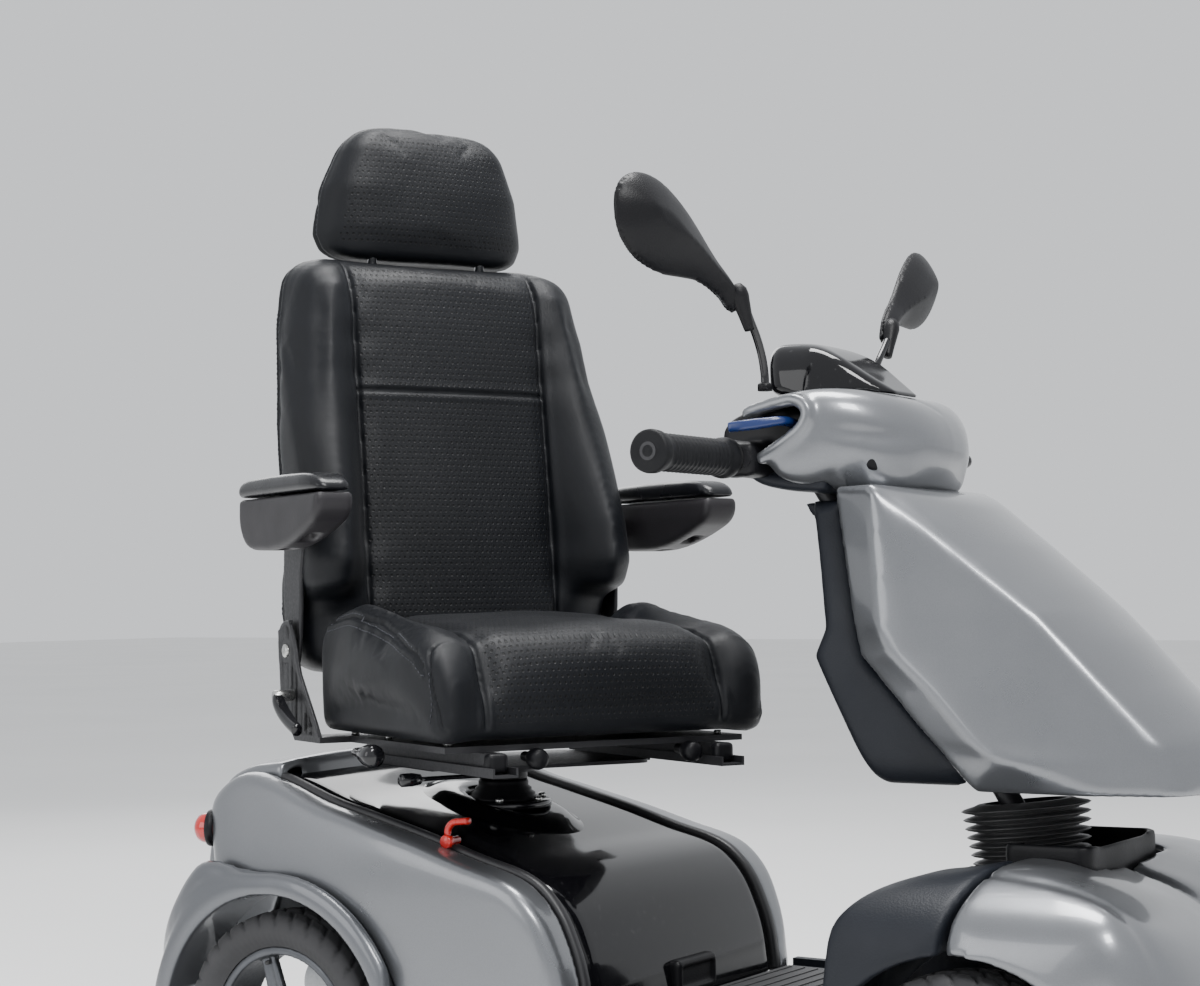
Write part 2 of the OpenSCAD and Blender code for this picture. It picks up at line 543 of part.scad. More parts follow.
module cushion() color([0.05, 0.055, 0.075]) seat() difference() {
  union() {
    translate([0, -117, 556.4]) linear_extrude(88) rsq(cushion_w, 374, 36);
    translate([0, -117, 644]) linear_extrude(48) rsq(cushion_w - 30, 350, 60);
    for (s = [-1, 1]) cy(-270, 60, s * 205, 672, 44);
    for (s = [-1, 1]) translate([s * 205, -270, 672]) sphere(44);
  }
}

module backrest() color([0.05, 0.055, 0.075]) seat() {
  difference() {
    union() {
      intersection() {
        prof(-255, 255, [[118, 665], [130, 640], [200, 636], [236, 690], [262, 1000], [282, 1235], [270, 1256], [205, 1256], [184, 1240], [158, 1050], [137, 880], [120, 740]]);
        rotate([90, 0, 0]) translate([0, 0, -400]) linear_extrude(400) polygon([[-246, 636], [-255, 700], [-255, 1000], [-245, 1180], [-205, 1252], [205, 1252], [245, 1180], [255, 1000], [255, 700], [246, 636]]);
      }
      // side bolsters
      for (s = [-1, 1]) translate([s * 218, 0, 0]) prof(-34, 34, [[150, 740], [84, 742], [62, 760], [57, 800], [64, 870], [92, 960], [128, 1050], [168, 1150], [190, 1150]]);
      for (s = [-1, 1]) translate([s * 222, 0, 0]) prof(-16, 16, [[150, 745], [78, 747], [57, 765], [51, 800], [58, 870], [86, 960], [124, 1050], [166, 1150], [190, 1150]]);
    }
    for (s = [-1, 1]) translate([s * 268 - 4, 0, 0]) prof(0, 8, [[0, 540], [180, 540], [180, 722], [0, 722]]);
    for (s = [-1, 1]) translate([s * 90, 240, 1200]) cylinder(h = 80, r = 7.1);
  }
  // hinge bosses and arm rest brackets
  for (s = [-1, 1]) {
    cx(s > 0 ? 250 : -273, s > 0 ? 273 : -250, 140, 672, 10);
    translate([s * 257 - 4, 0, 0]) difference() {
      prof(0, 8, [[125, 655], [155, 655], [175, 700], [175, 850], [150, 872], [118, 872], [95, 850], [110, 780]]);
      cx(-4, 14, 135, 848, 9.1);
    }
  }
}

module headrest() color([0.05, 0.055, 0.075]) seat() {
  intersection() {
    prof(-182, 182, [[196, 1262], [290, 1262], [306, 1300], [308, 1400], [290, 1466], [236, 1468], [212, 1430], [196, 1300]]);
    rotate([90, 0, 0]) translate([0, 0, -400]) linear_extrude(300) polygon([[-168, 1260], [-180, 1290], [-172, 1352], [-150, 1430], [-128, 1460], [-108, 1468], [108, 1468], [128, 1460], [150, 1430], [172, 1352], [180, 1290], [168, 1260]]);
  }
  for (s = [-1, 1]) translate([s * 90, 240, 1205]) cylinder(h = 80, r = 7);
}

module armrest(s) color([0.08, 0.08, 0.09]) seat() mirror(s < 0 ? [0, 0, 0] : [1, 0, 0]) translate([0, 0, 0]) {
  // pad
  prof(273, 333, [[170, 886], [170, 905], [140, 913], [-50, 913], [-100, 904], [-109, 892], [-109, 886]]);
  // shell below the pad
  prof(275, 331, [[172, 886.5], [-109, 886.5], [-108, 862], [-90, 846], [-20, 822], [40, 812], [150, 815], [172, 840]]);
  cx(261.6, 276, 135, 848, 16);
  cx(255.6, 276, 135, 848, 9);
}
module armrest_right() armrest(1);
module armrest_left() armrest(-1);

module recline_lever() color([0.05, 0.05, 0.055]) seat() mirror([1, 0, 0]) {
  cx(272, 302, 110, 610, 8);
  prof(292, 304, [[98, 622], [122, 622], [112, 600], [60, 566], [30, 560], [26, 572], [54, 584]]);
}

module slide_lever() color([0.05, 0.05, 0.055]) seat() mirror([1, 0, 0]) {
  cx(235, 262, -60, 541, 5);
  translate([262, -72, 533]) linear_extrude(10) rsq(26, 60, 12.9);
}

module swivel_lever() color([0.05, 0.05, 0.055]) seat() mirror([1, 0, 0]) {
  translate([96, -150, 503]) cylinder(h = 9, r = 10);
  translate([150, -150, 505]) linear_extrude(6) rsq(120, 14, 6.9);
  cx(206, 236, -150, 508, 9);
}

chassis_frame();
floorboard();
floor_mat();
side_panel_right();
side_panel_left();
rear_fender_right();
rear_fender_left();
rear_deck();
centre_hood();
hood_trim_right();
hood_trim_left();
tail_lamp_right();
tail_lamp_left();
battery_right();
battery_left();
transaxle();
front_cowl();
front_fender_right();
front_fender_left();
front_axle();
seat_post();
freewheel_lever();
tyre_rear_right();
rim_rear_right();
tyre_rear_left();
rim_rear_left();
tyre_front_right();
rim_front_right();
tyre_front_left();
rim_front_left();
knuckle_right();
knuckle_left();
tie_rod();
steering_column();
boot();
leg_shield();
tiller_shield();
tiller_head();
dash();
handlebar();
grip_right();
grip_left();
throttle_lever();
brake_lever();
mirror_right();
mirror_glass_right();
mirror_left();
mirror_glass_left();
headlamp();
speed_dial();
swivel_base();
seat_frame();
cushion();
backrest();
headrest();
armrest_right();
armrest_left();
recline_lever();
slide_lever();
swivel_lever();
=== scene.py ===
import math
import bmesh
import bpy
import numpy as np
from mathutils import Matrix, Vector


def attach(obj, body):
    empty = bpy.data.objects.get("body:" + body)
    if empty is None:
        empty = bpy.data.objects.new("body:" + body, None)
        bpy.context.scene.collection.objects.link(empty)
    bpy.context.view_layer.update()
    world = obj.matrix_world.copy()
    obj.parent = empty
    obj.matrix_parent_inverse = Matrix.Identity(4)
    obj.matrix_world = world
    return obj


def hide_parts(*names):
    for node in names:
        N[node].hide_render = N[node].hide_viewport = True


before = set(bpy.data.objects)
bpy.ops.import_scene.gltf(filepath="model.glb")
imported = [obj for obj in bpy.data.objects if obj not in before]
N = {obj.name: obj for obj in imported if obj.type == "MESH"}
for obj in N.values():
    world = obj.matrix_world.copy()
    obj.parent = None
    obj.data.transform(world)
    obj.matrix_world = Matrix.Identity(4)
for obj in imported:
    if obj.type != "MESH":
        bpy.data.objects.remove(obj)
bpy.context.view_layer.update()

rng = np.random.default_rng(7)

# ------------------------------------------------------------------ maths

def smin(a, b, k):
    if k <= 0:
        return np.minimum(a, b)
    h = np.clip(0.5 + 0.5 * (b - a) / k, 0, 1)
    return b * (1 - h) + a * h - k * h * (1 - h)


def smax(a, b, k=0.0):
    return -smin(-a, -b, k)


def curve(pts, n=6, closed=True, corners=()):
    """Catmull-Rom through the points, with the listed ones kept as corners."""
    P = np.array(pts, float)
    m = len(P)
    out = []
    rngs = range(m) if closed else range(m - 1)
    for i in rngs:
        p1, p2 = P[i], P[(i + 1) % m]
        p0 = P[i - 1] if (closed or i > 0) else p1
        p3 = P[(i + 2) % m] if (closed or i + 2 < m) else p2
        if i in corners:
            p0 = p1 - (p2 - p1) * 0.33
        if (i + 1) % m in corners:
            p3 = p2 + (p2 - p1) * 0.33
        L = np.linalg.norm(p2 - p1)
        t1 = (p2 - p0) / max(np.linalg.norm(p2 - p0), 1e-9) * L
        t2 = (p3 - p1) / max(np.linalg.norm(p3 - p1), 1e-9) * L
        for k in range(n):
            t = k / n
            h = (2 * t**3 - 3 * t**2 + 1, t**3 - 2 * t**2 + t, -2 * t**3 + 3 * t**2, t**3 - t**2)
            out.append(h[0] * p1 + h[1] * t1 + h[2] * p2 + h[3] * t2)
    if not closed:
        out.append(P[-1])
    return np.array(out)


def poly(pts, X, Y):
    """Signed distance to a polygon, negative inside. X and Y broadcast together."""
    P = np.array(pts, float)
    X, Y = np.broadcast_arrays(X, Y)
    shape = X.shape
    x, y = X.ravel().astype(np.float32), Y.ravel().astype(np.float32)
    d = np.full(x.shape, 1e9, np.float32)
    s = np.zeros(x.shape, bool)
    m = len(P)
    for i in range(m):
        ax, ay = P[i]
        bx_, by_ = P[i - 1]
        ex, ey = bx_ - ax, by_ - ay
        wx, wy = x - ax, y - ay
        t = np.clip((wx * ex + wy * ey) / max(ex * ex + ey * ey, 1e-12), 0, 1)
        d = np.minimum(d, (wx - ex * t) ** 2 + (wy - ey * t) ** 2)
        c1 = (ay <= y) & (by_ > y)
        c2 = (ay > y) & (by_ <= y)
        side = ex * wy - ey * wx
        s ^= (c1 & (side > 0)) | (c2 & (side < 0))
    d = np.sqrt(d)
    return np.where(s, -d, d).reshape(shape)


def rbox(X, Y, Z, c, h, r):
    qx, qy, qz = abs(X - c[0]) - h[0] + r, abs(Y - c[1]) - h[1] + r, abs(Z - c[2]) - h[2] + r
    out = np.sqrt(np.maximum(qx, 0) ** 2 + np.maximum(qy, 0) ** 2 + np.maximum(qz, 0) ** 2)
    return out + np.minimum(np.maximum(qx, np.maximum(qy, qz)), 0) - r


def capsule(X, Y, Z, a, b, r):
    a, b = np.array(a, float), np.array(b, float)
    e = b - a
    t = np.clip(((X - a[0]) * e[0] + (Y - a[1]) * e[1] + (Z - a[2]) * e[2]) / (e @ e), 0, 1)
    return np.sqrt((X - a[0] - e[0] * t) ** 2 + (Y - a[1] - e[1] * t) ** 2 + (Z - a[2] - e[2] * t) ** 2) - r


def cyl(A, B, T, r, t0, t1, k=0.0):
    return smax(np.sqrt(A**2 + B**2) - r, np.maximum(t0 - T, T - t1), k)


def nets(fn, lo, hi, res):
    """Quad mesh of the surface where fn is zero."""
    ax = [np.arange(lo[i] - 2 * res, hi[i] + 2.5 * res, res) for i in range(3)]
    X, Y, Z = ax[0][:, None, None], ax[1][None, :, None], ax[2][None, None, :]
    F = np.broadcast_to(fn(X, Y, Z), (len(ax[0]), len(ax[1]), len(ax[2]))).astype(np.float32)
    F = np.where(F == 0, 1e-7, F)
    s = F < 0
    c = np.zeros(tuple(n - 1 for n in F.shape), np.int8)
    for a in (0, 1):
        for b in (0, 1):
            for d in (0, 1):
                c += s[a:F.shape[0] - 1 + a, b:F.shape[1] - 1 + b, d:F.shape[2] - 1 + d]
    act = (c > 0) & (c < 8)
    I = np.argwhere(act)
    ids = -np.ones(c.shape, np.int64)
    ids[act] = np.arange(len(I))
    pos, cnt = np.zeros((len(I), 3)), np.zeros(len(I))
    for axis in range(3):
        o = [i for i in range(3) if i != axis]
        for u in (0, 1):
            for v in (0, 1):
                a = np.zeros(3, int); a[o[0]], a[o[1]] = u, v
                b = a.copy(); b[axis] = 1
                A, B = I + a, I + b
                Fa, Fb = F[A[:, 0], A[:, 1], A[:, 2]], F[B[:, 0], B[:, 1], B[:, 2]]
                w = (Fa < 0) != (Fb < 0)
                t = np.where(w, Fa / np.where(w, Fa - Fb, 1), 0)
                p = np.tile(a.astype(float), (len(I), 1)); p[:, axis] = t
                pos[w] += p[w]; cnt[w] += 1
    V = (I + pos / np.maximum(cnt, 1)[:, None]) * res + np.array([x[0] for x in ax])
    quads = []
    for axis in range(3):
        o = [i for i in range(3) if i != axis]
        sl0 = [slice(None)] * 3; sl1 = [slice(None)] * 3
        sl0[axis] = slice(0, -1); sl1[axis] = slice(1, None)
        for q in o:
            sl0[q] = slice(1, -1); sl1[q] = slice(1, -1)
        s0, s1 = s[tuple(sl0)], s[tuple(sl1)]
        E = np.argwhere(s0 != s1)
        if not len(E):
            continue
        E = E + np.array([0 if i == axis else 1 for i in range(3)])
        inside = s[E[:, 0], E[:, 1], E[:, 2]]
        def cell(du, dv):
            q = E.copy(); q[:, o[0]] -= du; q[:, o[1]] -= dv
            return ids[q[:, 0], q[:, 1], q[:, 2]]
        Q = np.stack([cell(1, 1), cell(0, 1), cell(0, 0), cell(1, 0)], 1)
        flip = inside if axis != 1 else ~inside
        Q[~flip] = Q[~flip][:, ::-1]
        quads.append(Q)
    return V, np.concatenate(quads)


def obj_from(name, V, Fc, smooth=True):
    me = bpy.data.meshes.new(name)
    me.from_pydata([tuple(v) for v in V], [], [tuple(int(i) for i in f) for f in Fc])
    me.validate()
    me.update()
    o = bpy.data.objects.new(name, me)
    bpy.context.scene.collection.objects.link(o)
    if smooth:
        me.polygons.foreach_set("use_smooth", [True] * len(me.polygons))
    return o


def clean(o, relax=0, thin=0.0):
    """Relaxes a netted mesh a little, recalculates its normals and shades it smooth."""
    bm = bmesh.new(); bm.from_mesh(o.data)
    for _ in range(relax):
        bmesh.ops.smooth_vert(bm, verts=bm.verts, factor=0.5, use_axis_x=True, use_axis_y=True, use_axis_z=True)
    bmesh.ops.recalc_face_normals(bm, faces=bm.faces)
    bm.to_mesh(o.data); bm.free()
    o.data.polygons.foreach_set("use_smooth", [True] * len(o.data.polygons))
    return o


def sdf(name, fn, lo, hi, res, relax=1):
    V, Q = nets(fn, lo, hi, res)
    return clean(obj_from(name, V, Q), relax)


def put(o, body, mat, replaces=()):
    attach(o, body)
    if mat is not None:
        o.data.materials.clear()
        o.data.materials.append(mat)
    if replaces:
        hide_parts(*([replaces] if isinstance(replaces, str) else replaces))
    return o


def mirrored(o, name):
    """A copy reflected across the centre plane."""
    me = o.data.copy(); me.name = name
    m = bpy.data.objects.new(name, me)
    bpy.context.scene.collection.objects.link(m)
    me.transform(Matrix.Diagonal((-1, 1, 1, 1)))
    me.flip_normals()
    for mod in o.modifiers:
        q = m.modifiers.new(mod.name, mod.type)
        for a in ("thickness", "offset", "levels", "render_levels", "width", "segments", "limit_method", "angle_limit"):
            if hasattr(mod, a):
                setattr(q, a, getattr(mod, a))
    return m


def gridmesh(name, P, closed_u=False, closed_v=False, caps=False):
    """P is (nu, nv, 3)."""
    P = np.asarray(P, float)
    nu, nv = P.shape[:2]
    F = []
    for i in range(nu if closed_u else nu - 1):
        for j in range(nv if closed_v else nv - 1):
            a, b = i, (i + 1) % nu
            c, d = j, (j + 1) % nv
            F.append((a * nv + c, b * nv + c, b * nv + d, a * nv + d))
    V = P.reshape(-1, 3).tolist()
    if caps and closed_v:
        for row in (0, nu - 1):
            c = P[row].mean(0); V.append(c.tolist())
            for j in range(nv):
                f = (row * nv + j, row * nv + (j + 1) % nv, len(V) - 1)
                F.append(f if row else f[::-1])
    o = obj_from(name, V, F)
    return clean(o)


def revolve(name, prof, origin, axis, n=64, bump=None):
    """Closed or open profile of (radius, along) points turned about an axis through origin."""
    a = Vector(axis).normalized()
    u = a.orthogonal().normalized(); v = a.cross(u)
    P = []
    for i in range(n):
        t = 2 * math.pi * i / n
        d = u * math.cos(t) + v * math.sin(t)
        P.append([list(Vector(origin) + d * (r + (bump(t, r, h) if bump else 0)) + a * h) for r, h in prof])
    return gridmesh(name, P, closed_u=True)


def sweep(name, path, sec, up=(0, 0, 1), n=1):
    """Section (list of (side, up)) carried along a path. up is a vector or one for each point."""
    path = np.asarray(path, float)
    T = np.gradient(path, axis=0); T /= np.linalg.norm(T, axis=1)[:, None]
    U = np.broadcast_to(np.array(up, float), path.shape).copy()
    S = np.cross(T, U); S /= np.linalg.norm(S, axis=1)[:, None]
    U = np.cross(S, T)
    P = []
    for i in range(len(path)):
        sc = sec(i / (len(path) - 1)) if callable(sec) else sec
        P.append([path[i] + S[i] * a + U[i] * b for a, b in sc])
    return gridmesh(name, np.array(P), closed_v=True, caps=True)


def rrect(w, h, r, n=4):
    out = []
    for cx_, cy_, a0 in ((w / 2 - r, h / 2 - r, 0), (-w / 2 + r, h / 2 - r, 90), (-w / 2 + r, -h / 2 + r, 180), (w / 2 - r, -h / 2 + r, 270)):
        for k in range(n + 1):
            a = math.radians(a0 + 90 * k / n)
            out.append((cx_ + r * math.cos(a), cy_ + r * math.sin(a)))
    return out


def ring(r, n=16):
    return [(r * math.cos(2 * math.pi * i / n), r * math.sin(2 * math.pi * i / n)) for i in range(n)]


# ------------------------------------------------------------------ materials

class Mat:
    def __init__(self, name, color, rough=0.5, metal=0.0, **k):
        self.m = bpy.data.materials.new(name)
        self.m.use_nodes = True
        self.nt = self.m.node_tree
        self.b = self.nt.nodes["Principled BSDF"]
        self.b.inputs["Base Color"].default_value = (*color, 1)
        self.b.inputs["Roughness"].default_value = rough
        self.b.inputs["Metallic"].default_value = metal
        for n, v in k.items():
            self.b.inputs[n].default_value = v
        self.tc = self.nt.nodes.new("ShaderNodeTexCoord")
        self.h = []
        self.color = color

    def node(self, kind, **k):
        n = self.nt.nodes.new(kind)
        for a, v in k.items():
            if a in n.inputs:
                n.inputs[a].default_value = v
            else:
                setattr(n, a, v)
        return n

    def link(self, a, b):
        self.nt.links.new(a, b)

    def noise(self, scale, detail=4, rough=0.55, vec=None):
        n = self.node("ShaderNodeTexNoise")
        n.inputs["Scale"].default_value = scale
        n.inputs["Detail"].default_value = detail
        n.inputs["Roughness"].default_value = rough
        self.link(vec or self.tc.outputs["Object"], n.inputs["Vector"])
        return n.outputs["Fac"]

    def voronoi(self, scale, feature="F1", out="Distance"):
        n = self.node("ShaderNodeTexVoronoi", feature=feature)
        n.inputs["Scale"].default_value = scale
        self.link(self.tc.outputs["Object"], n.inputs["Vector"])
        return n.outputs[out]

    def ramp(self, fac, stops):
        n = self.node("ShaderNodeValToRGB")
        e = n.color_ramp.elements
        while len(e) < len(stops):
            e.new(0.5)
        for q, (p, c) in zip(e, stops):
            q.position = p
            q.color = (*c, 1) if hasattr(c, "__len__") else (c, c, c, 1)
        self.link(fac, n.inputs["Fac"])
        return n.outputs["Color"]

    def remap(self, fac, a, b, c, d):
        n = self.node("ShaderNodeMapRange")
        for i, v in zip(("From Min", "From Max", "To Min", "To Max"), (a, b, c, d)):
            n.inputs[i].default_value = v
        self.link(fac, n.inputs["Value"])
        return n.outputs["Result"]

    def math(self, op, a, b=None, clamp=False):
        n = self.node("ShaderNodeMath", operation=op, use_clamp=clamp)
        for i, v in enumerate((a, b)):
            if v is None:
                continue
            if isinstance(v, (int, float)):
                n.inputs[i].default_value = v
            else:
                self.link(v, n.inputs[i])
        return n.outputs[0]

    def mix(self, fac, a, b):
        n = self.node("ShaderNodeMix", data_type="RGBA")
        self.link(fac, n.inputs[0]) if not isinstance(fac, (int, float)) else setattr(n.inputs[0], "default_value", fac)
        for i, v in ((6, a), (7, b)):
            if hasattr(v, "__len__"):
                n.inputs[i].default_value = (*v, 1)
            else:
                self.link(v, n.inputs[i])
        return n.outputs[2]

    def base(self, col):
        self.link(col, self.b.inputs["Base Color"])

    def rough(self, v):
        self.link(v, self.b.inputs["Roughness"])

    def bump(self, h, strength=0.3, dist=0.001, prev=None):
        n = self.node("ShaderNodeBump")
        n.inputs["Strength"].default_value = strength
        n.inputs["Distance"].default_value = dist
        self.link(h, n.inputs["Height"])
        if self.h:
            self.link(self.h[-1], n.inputs["Normal"])
        self.h.append(n.outputs["Normal"])
        self.link(n.outputs["Normal"], self.b.inputs["Normal"])


def tint(c, f):
    return tuple(min(1, x * f) for x in c)


def edges(M, amount=0.5):
    """Mask of worn convex edges from the mesh's pointiness, broken up by noise."""
    g = M.node("ShaderNodeNewGeometry")
    p = M.remap(g.outputs["Pointiness"], 0.53, 0.60, 0, 1)
    n = M.remap(M.noise(60, 5), 0.42, 0.62, 0, 1)
    return M.math("MULTIPLY", M.math("MULTIPLY", p, n, clamp=True), amount, clamp=True)


def paint(name, c, flake=0.35, rough=0.3):
    M = Mat(name, c, rough, 0.72, **{"Coat Weight": 0.85, "Coat Roughness": 0.07})
    fl = M.voronoi(2600, out="Color")
    v = M.remap(M.math("MULTIPLY", fl, 1.0), 0.0, 1.0, 1 - flake * 0.35, 1 + flake * 0.35)
    cloud = M.noise(3.0, 3)
    k = M.math("MULTIPLY", v, M.remap(cloud, 0.3, 0.7, 0.965, 1.035))
    hs = M.node("ShaderNodeHueSaturation")
    hs.inputs["Color"].default_value = (*c, 1)
    M.link(k, hs.inputs["Value"])
    M.base(M.mix(edges(M, 0.35), hs.outputs["Color"], tint(c, 1.25)))
    dust = M.remap(M.noise(9, 6), 0.35, 0.75, 0, 1)
    M.rough(M.remap(dust, 0, 1, rough - 0.03, rough + 0.09))
    M.bump(M.noise(900, 2), 0.05, 0.0003)
    M.bump(M.noise(38, 3), 0.04, 0.001)
    return M.m


def plastic(name, c, rough=0.55, grain=420, bump=0.35, wear=0.3, **k):
    M = Mat(name, c, rough, 0.0, **k)
    n = M.noise(6, 5)
    M.base(M.mix(edges(M, wear), M.mix(M.remap(n, 0.3, 0.7, 0, 1), tint(c, 0.88), tint(c, 1.14)), tint(c, 1.9)))
    M.rough(M.remap(M.noise(14, 5), 0.3, 0.7, rough - 0.05, rough + 0.07))
    if grain:
        M.bump(M.voronoi(grain), bump, 0.0004)
        M.bump(M.noise(grain * 2.5, 3), bump * 0.5, 0.0002)
    return M.m


def gloss(name, c, rough=0.08, coat=0.6):
    M = Mat(name, c, rough, 0.0, **{"Coat Weight": coat, "Coat Roughness": 0.04})
    sm = M.remap(M.noise(22, 7, 0.65), 0.4, 0.8, 0, 1)
    M.rough(M.remap(sm, 0, 1, rough, rough + 0.10))
    M.base(M.mix(M.remap(M.noise(120, 6), 0.62, 0.74, 0, 0.5), c, tint(c, 1.8) if max(c) > 0.05 else (0.05, 0.05, 0.052)))
    M.bump(M.noise(30, 2), 0.03, 0.001)
    return M.m


def metal(name, c, rough=0.3, brushed=None, m=1.0):
    M = Mat(name, c, rough, m)
    if brushed:
        mp = M.node("ShaderNodeMapping")
        mp.inputs["Scale"].default_value = brushed
        M.link(M.tc.outputs["Object"], mp.inputs["Vector"])
        n = M.noise(60, 4, vec=mp.outputs["Vector"])
    else:
        n = M.noise(240, 5)
    M.rough(M.remap(n, 0.3, 0.7, rough - 0.07, rough + 0.1))
    M.base(M.mix(M.remap(M.noise(18, 6), 0.4, 0.75, 0, 1), c, tint(c, 0.72)))
    M.bump(n, 0.12, 0.0003)
    return M.m


def rubber(name, c, rough=0.78, grain=900, dust=0.012, spec=0.5, sheen=0.06):
    M = Mat(name, c, rough, 0.0, **{"Sheen Weight": sheen, "Sheen Roughness": 0.5, "Specular IOR Level": spec})
    dusty = M.remap(M.noise(11, 7, 0.6), 0.45, 0.8, 0, 1)
    M.base(M.mix(dusty, c, tuple(x * 1.6 + dust for x in c)))
    M.rough(M.remap(dusty, 0, 1, rough - 0.08, rough + 0.08))
    M.bump(M.noise(grain, 4), 0.25, 0.0003)
    return M.m


def leather(name, c, perforated=False, rough=0.42, pitch=0.0085, uvw=("X", "Z")):
    """Fine pebbled hide. The perforated kind has rows of small punched holes, laid out by the mesh's panel_uv
    attribute; the two object axes in uvw are not used.
    """
    M = Mat(name, c, rough, 0.0, **{"Specular IOR Level": 0.26, "Sheen Weight": 0.015, "Sheen Roughness": 0.4})
    cells = M.voronoi(620, "DISTANCE_TO_EDGE")
    crease = M.remap(cells, 0.0, 0.16, 0, 1)
    fold = M.noise(14, 5, 0.6)
    mott = M.remap(M.noise(5, 6), 0.3, 0.7, 0, 1)
    col = M.mix(mott, tint(c, 0.85), tint(c, 1.25))
    col = M.mix(M.math("MULTIPLY", M.math("SUBTRACT", 1.0, crease), 0.6), col, tint(c, 0.45))
    col = M.mix(edges(M, 0.25), col, tint(c, 2.2))
    if perforated:
        sp = M.node("ShaderNodeSeparateXYZ")
        at = M.node("ShaderNodeAttribute", attribute_name="panel_uv")
        M.link(at.outputs["Vector"], sp.inputs["Vector"])
        a = M.math("DIVIDE", sp.outputs["X"], pitch)
        b = M.math("DIVIDE", sp.outputs["Y"], pitch)
        row = M.math("FLOOR", b)
        odd = M.math("MULTIPLY", M.math("FLOORED_MODULO", row, 2.0), 0.5)
        fx = M.math("SUBTRACT", M.math("FRACT", M.math("ADD", a, odd)), 0.5)
        fy = M.math("SUBTRACT", M.math("FRACT", b), 0.5)
        r = M.math("SQRT", M.math("ADD", M.math("MULTIPLY", fx, fx), M.math("MULTIPLY", fy, fy)))
        hole = M.remap(r, 0.16, 0.24, 0, 1)
        mask = M.remap(sp.outputs["Z"], 0.4, 0.6, 0, 1)
        hole = M.math("MAXIMUM", hole, M.math("SUBTRACT", 1.0, mask))
        col = M.mix(hole, tint(c, 0.12), col)
        M.bump(hole, 0.6, 0.0012)
    M.base(col)
    M.rough(M.remap(fold, 0.3, 0.7, rough - 0.03, rough + 0.04))
    M.bump(crease, 0.28, 0.0005)
    M.bump(fold, 0.25, 0.003)
    return M.m


SILVER = (0.188, 0.195, 0.207)
m_silver = paint("silver_paint", SILVER)
m_fender = paint("fender_paint", (0.125, 0.131, 0.143), 0.3, 0.34)
m_hood = gloss("hood_black", (0.0035, 0.0035, 0.0045), 0.07, 0.25)
m_hood.node_tree.nodes["Principled BSDF"].inputs["Specular IOR Level"].default_value = 0.32
m_trim = plastic("trim_black", (0.018, 0.018, 0.02), 0.42, 500, 0.25)
m_dark = plastic("dark_plastic", (0.0105, 0.0125, 0.0175), 0.48, 380, 0.4, **{"Specular IOR Level": 0.28})
m_blackp = plastic("black_plastic", (0.0045, 0.0045, 0.0058), 0.42, 420, 0.3, **{"Specular IOR Level": 0.25})
m_blackg = gloss("black_gloss", (0.006, 0.006, 0.0075), 0.12, 0.2)
m_mat = rubber("mat_rubber", (0.03, 0.03, 0.032), 0.7, 700)
m_frame = metal("frame_black", (0.03, 0.03, 0.033), 0.42, None, 0.35)
m_cast = metal("cast_alloy", (0.42, 0.43, 0.44), 0.5)
m_steel = metal("rod_zinc", (0.55, 0.56, 0.57), 0.3, (4, 60, 60))
m_iron = metal("knuckle_steel", (0.18, 0.18, 0.19), 0.5)
m_batt = plastic("battery_case", (0.05, 0.05, 0.055), 0.5, 300, 0.3)
m_tyre = rubber("tyre_rubber", (0.022, 0.022, 0.024), 0.74, 500)
m_rim = metal("rim_alloy", (0.11, 0.115, 0.125), 0.38, None, 0.85)
m_boot = rubber("boot_rubber", (0.012, 0.012, 0.013), 0.5, 900)
m_grip = rubber("grip_rubber", (0.0055, 0.0058, 0.007), 0.6, 1100, 0.004, 0.22, 0.02)
m_blue = gloss("lever_blue", (0.008, 0.024, 0.115), 0.26, 0.25)
m_red = gloss("lever_red", (0.5, 0.012, 0.008), 0.22, 0.5)
m_lampr = gloss("lamp_red", (0.5, 0.01, 0.008), 0.1, 0.8)
m_chrome = metal("chrome_stalk", (0.75, 0.76, 0.78), 0.12)
m_bolt = metal("zinc_bolt", (0.62, 0.62, 0.6), 0.28)
m_mirror = metal("mirror_face", (0.88, 0.9, 0.92), 0.03)
m_leather = leather("seat_leather", (0.0034, 0.0042, 0.0062))
m_perf = leather("seat_perforated", (0.0034, 0.0042, 0.0062), True)
m_pad = plastic("arm_plastic", (0.0055, 0.0058, 0.0075), 0.26, 520, 0.25, **{"Specular IOR Level": 0.36})
m_thread = rubber("stitch_thread", (0.02, 0.022, 0.03), 0.7, 2500)
m_grey = metal("bracket_grey", (0.34, 0.34, 0.33), 0.4)


def lens(name, c):
    M = Mat(name, c, 0.08, 0.0, **{"Transmission Weight": 0.35, "Coat Weight": 1.0, "Coat Roughness": 0.03})
    w = M.node("ShaderNodeTexWave")
    w.inputs["Scale"].default_value = 60
    M.link(M.tc.outputs["Object"], w.inputs["Vector"])
    M.bump(w.outputs["Fac"], 0.3, 0.001)
    M.rough(M.remap(M.noise(50, 3), 0.3, 0.7, 0.06, 0.14))
    return M.m


m_clear = lens("lamp_clear", (0.8, 0.83, 0.86))

# ------------------------------------------------------------------ CAD nodes that keep their shape

def cad(names, mat, bevel=0.0015, seg=2):
    for n in names:
        o = N[n]
        o.data.materials.clear(); o.data.materials.append(mat)
        if bevel:
            b = o.modifiers.new("edge", "BEVEL")
            b.width, b.segments, b.limit_method, b.angle_limit = bevel, seg, "ANGLE", math.radians(35)
            b.harden_normals = False
        for p in o.data.polygons:
            p.use_smooth = True
        o.data.set_sharp_from_angle(angle=math.radians(35))


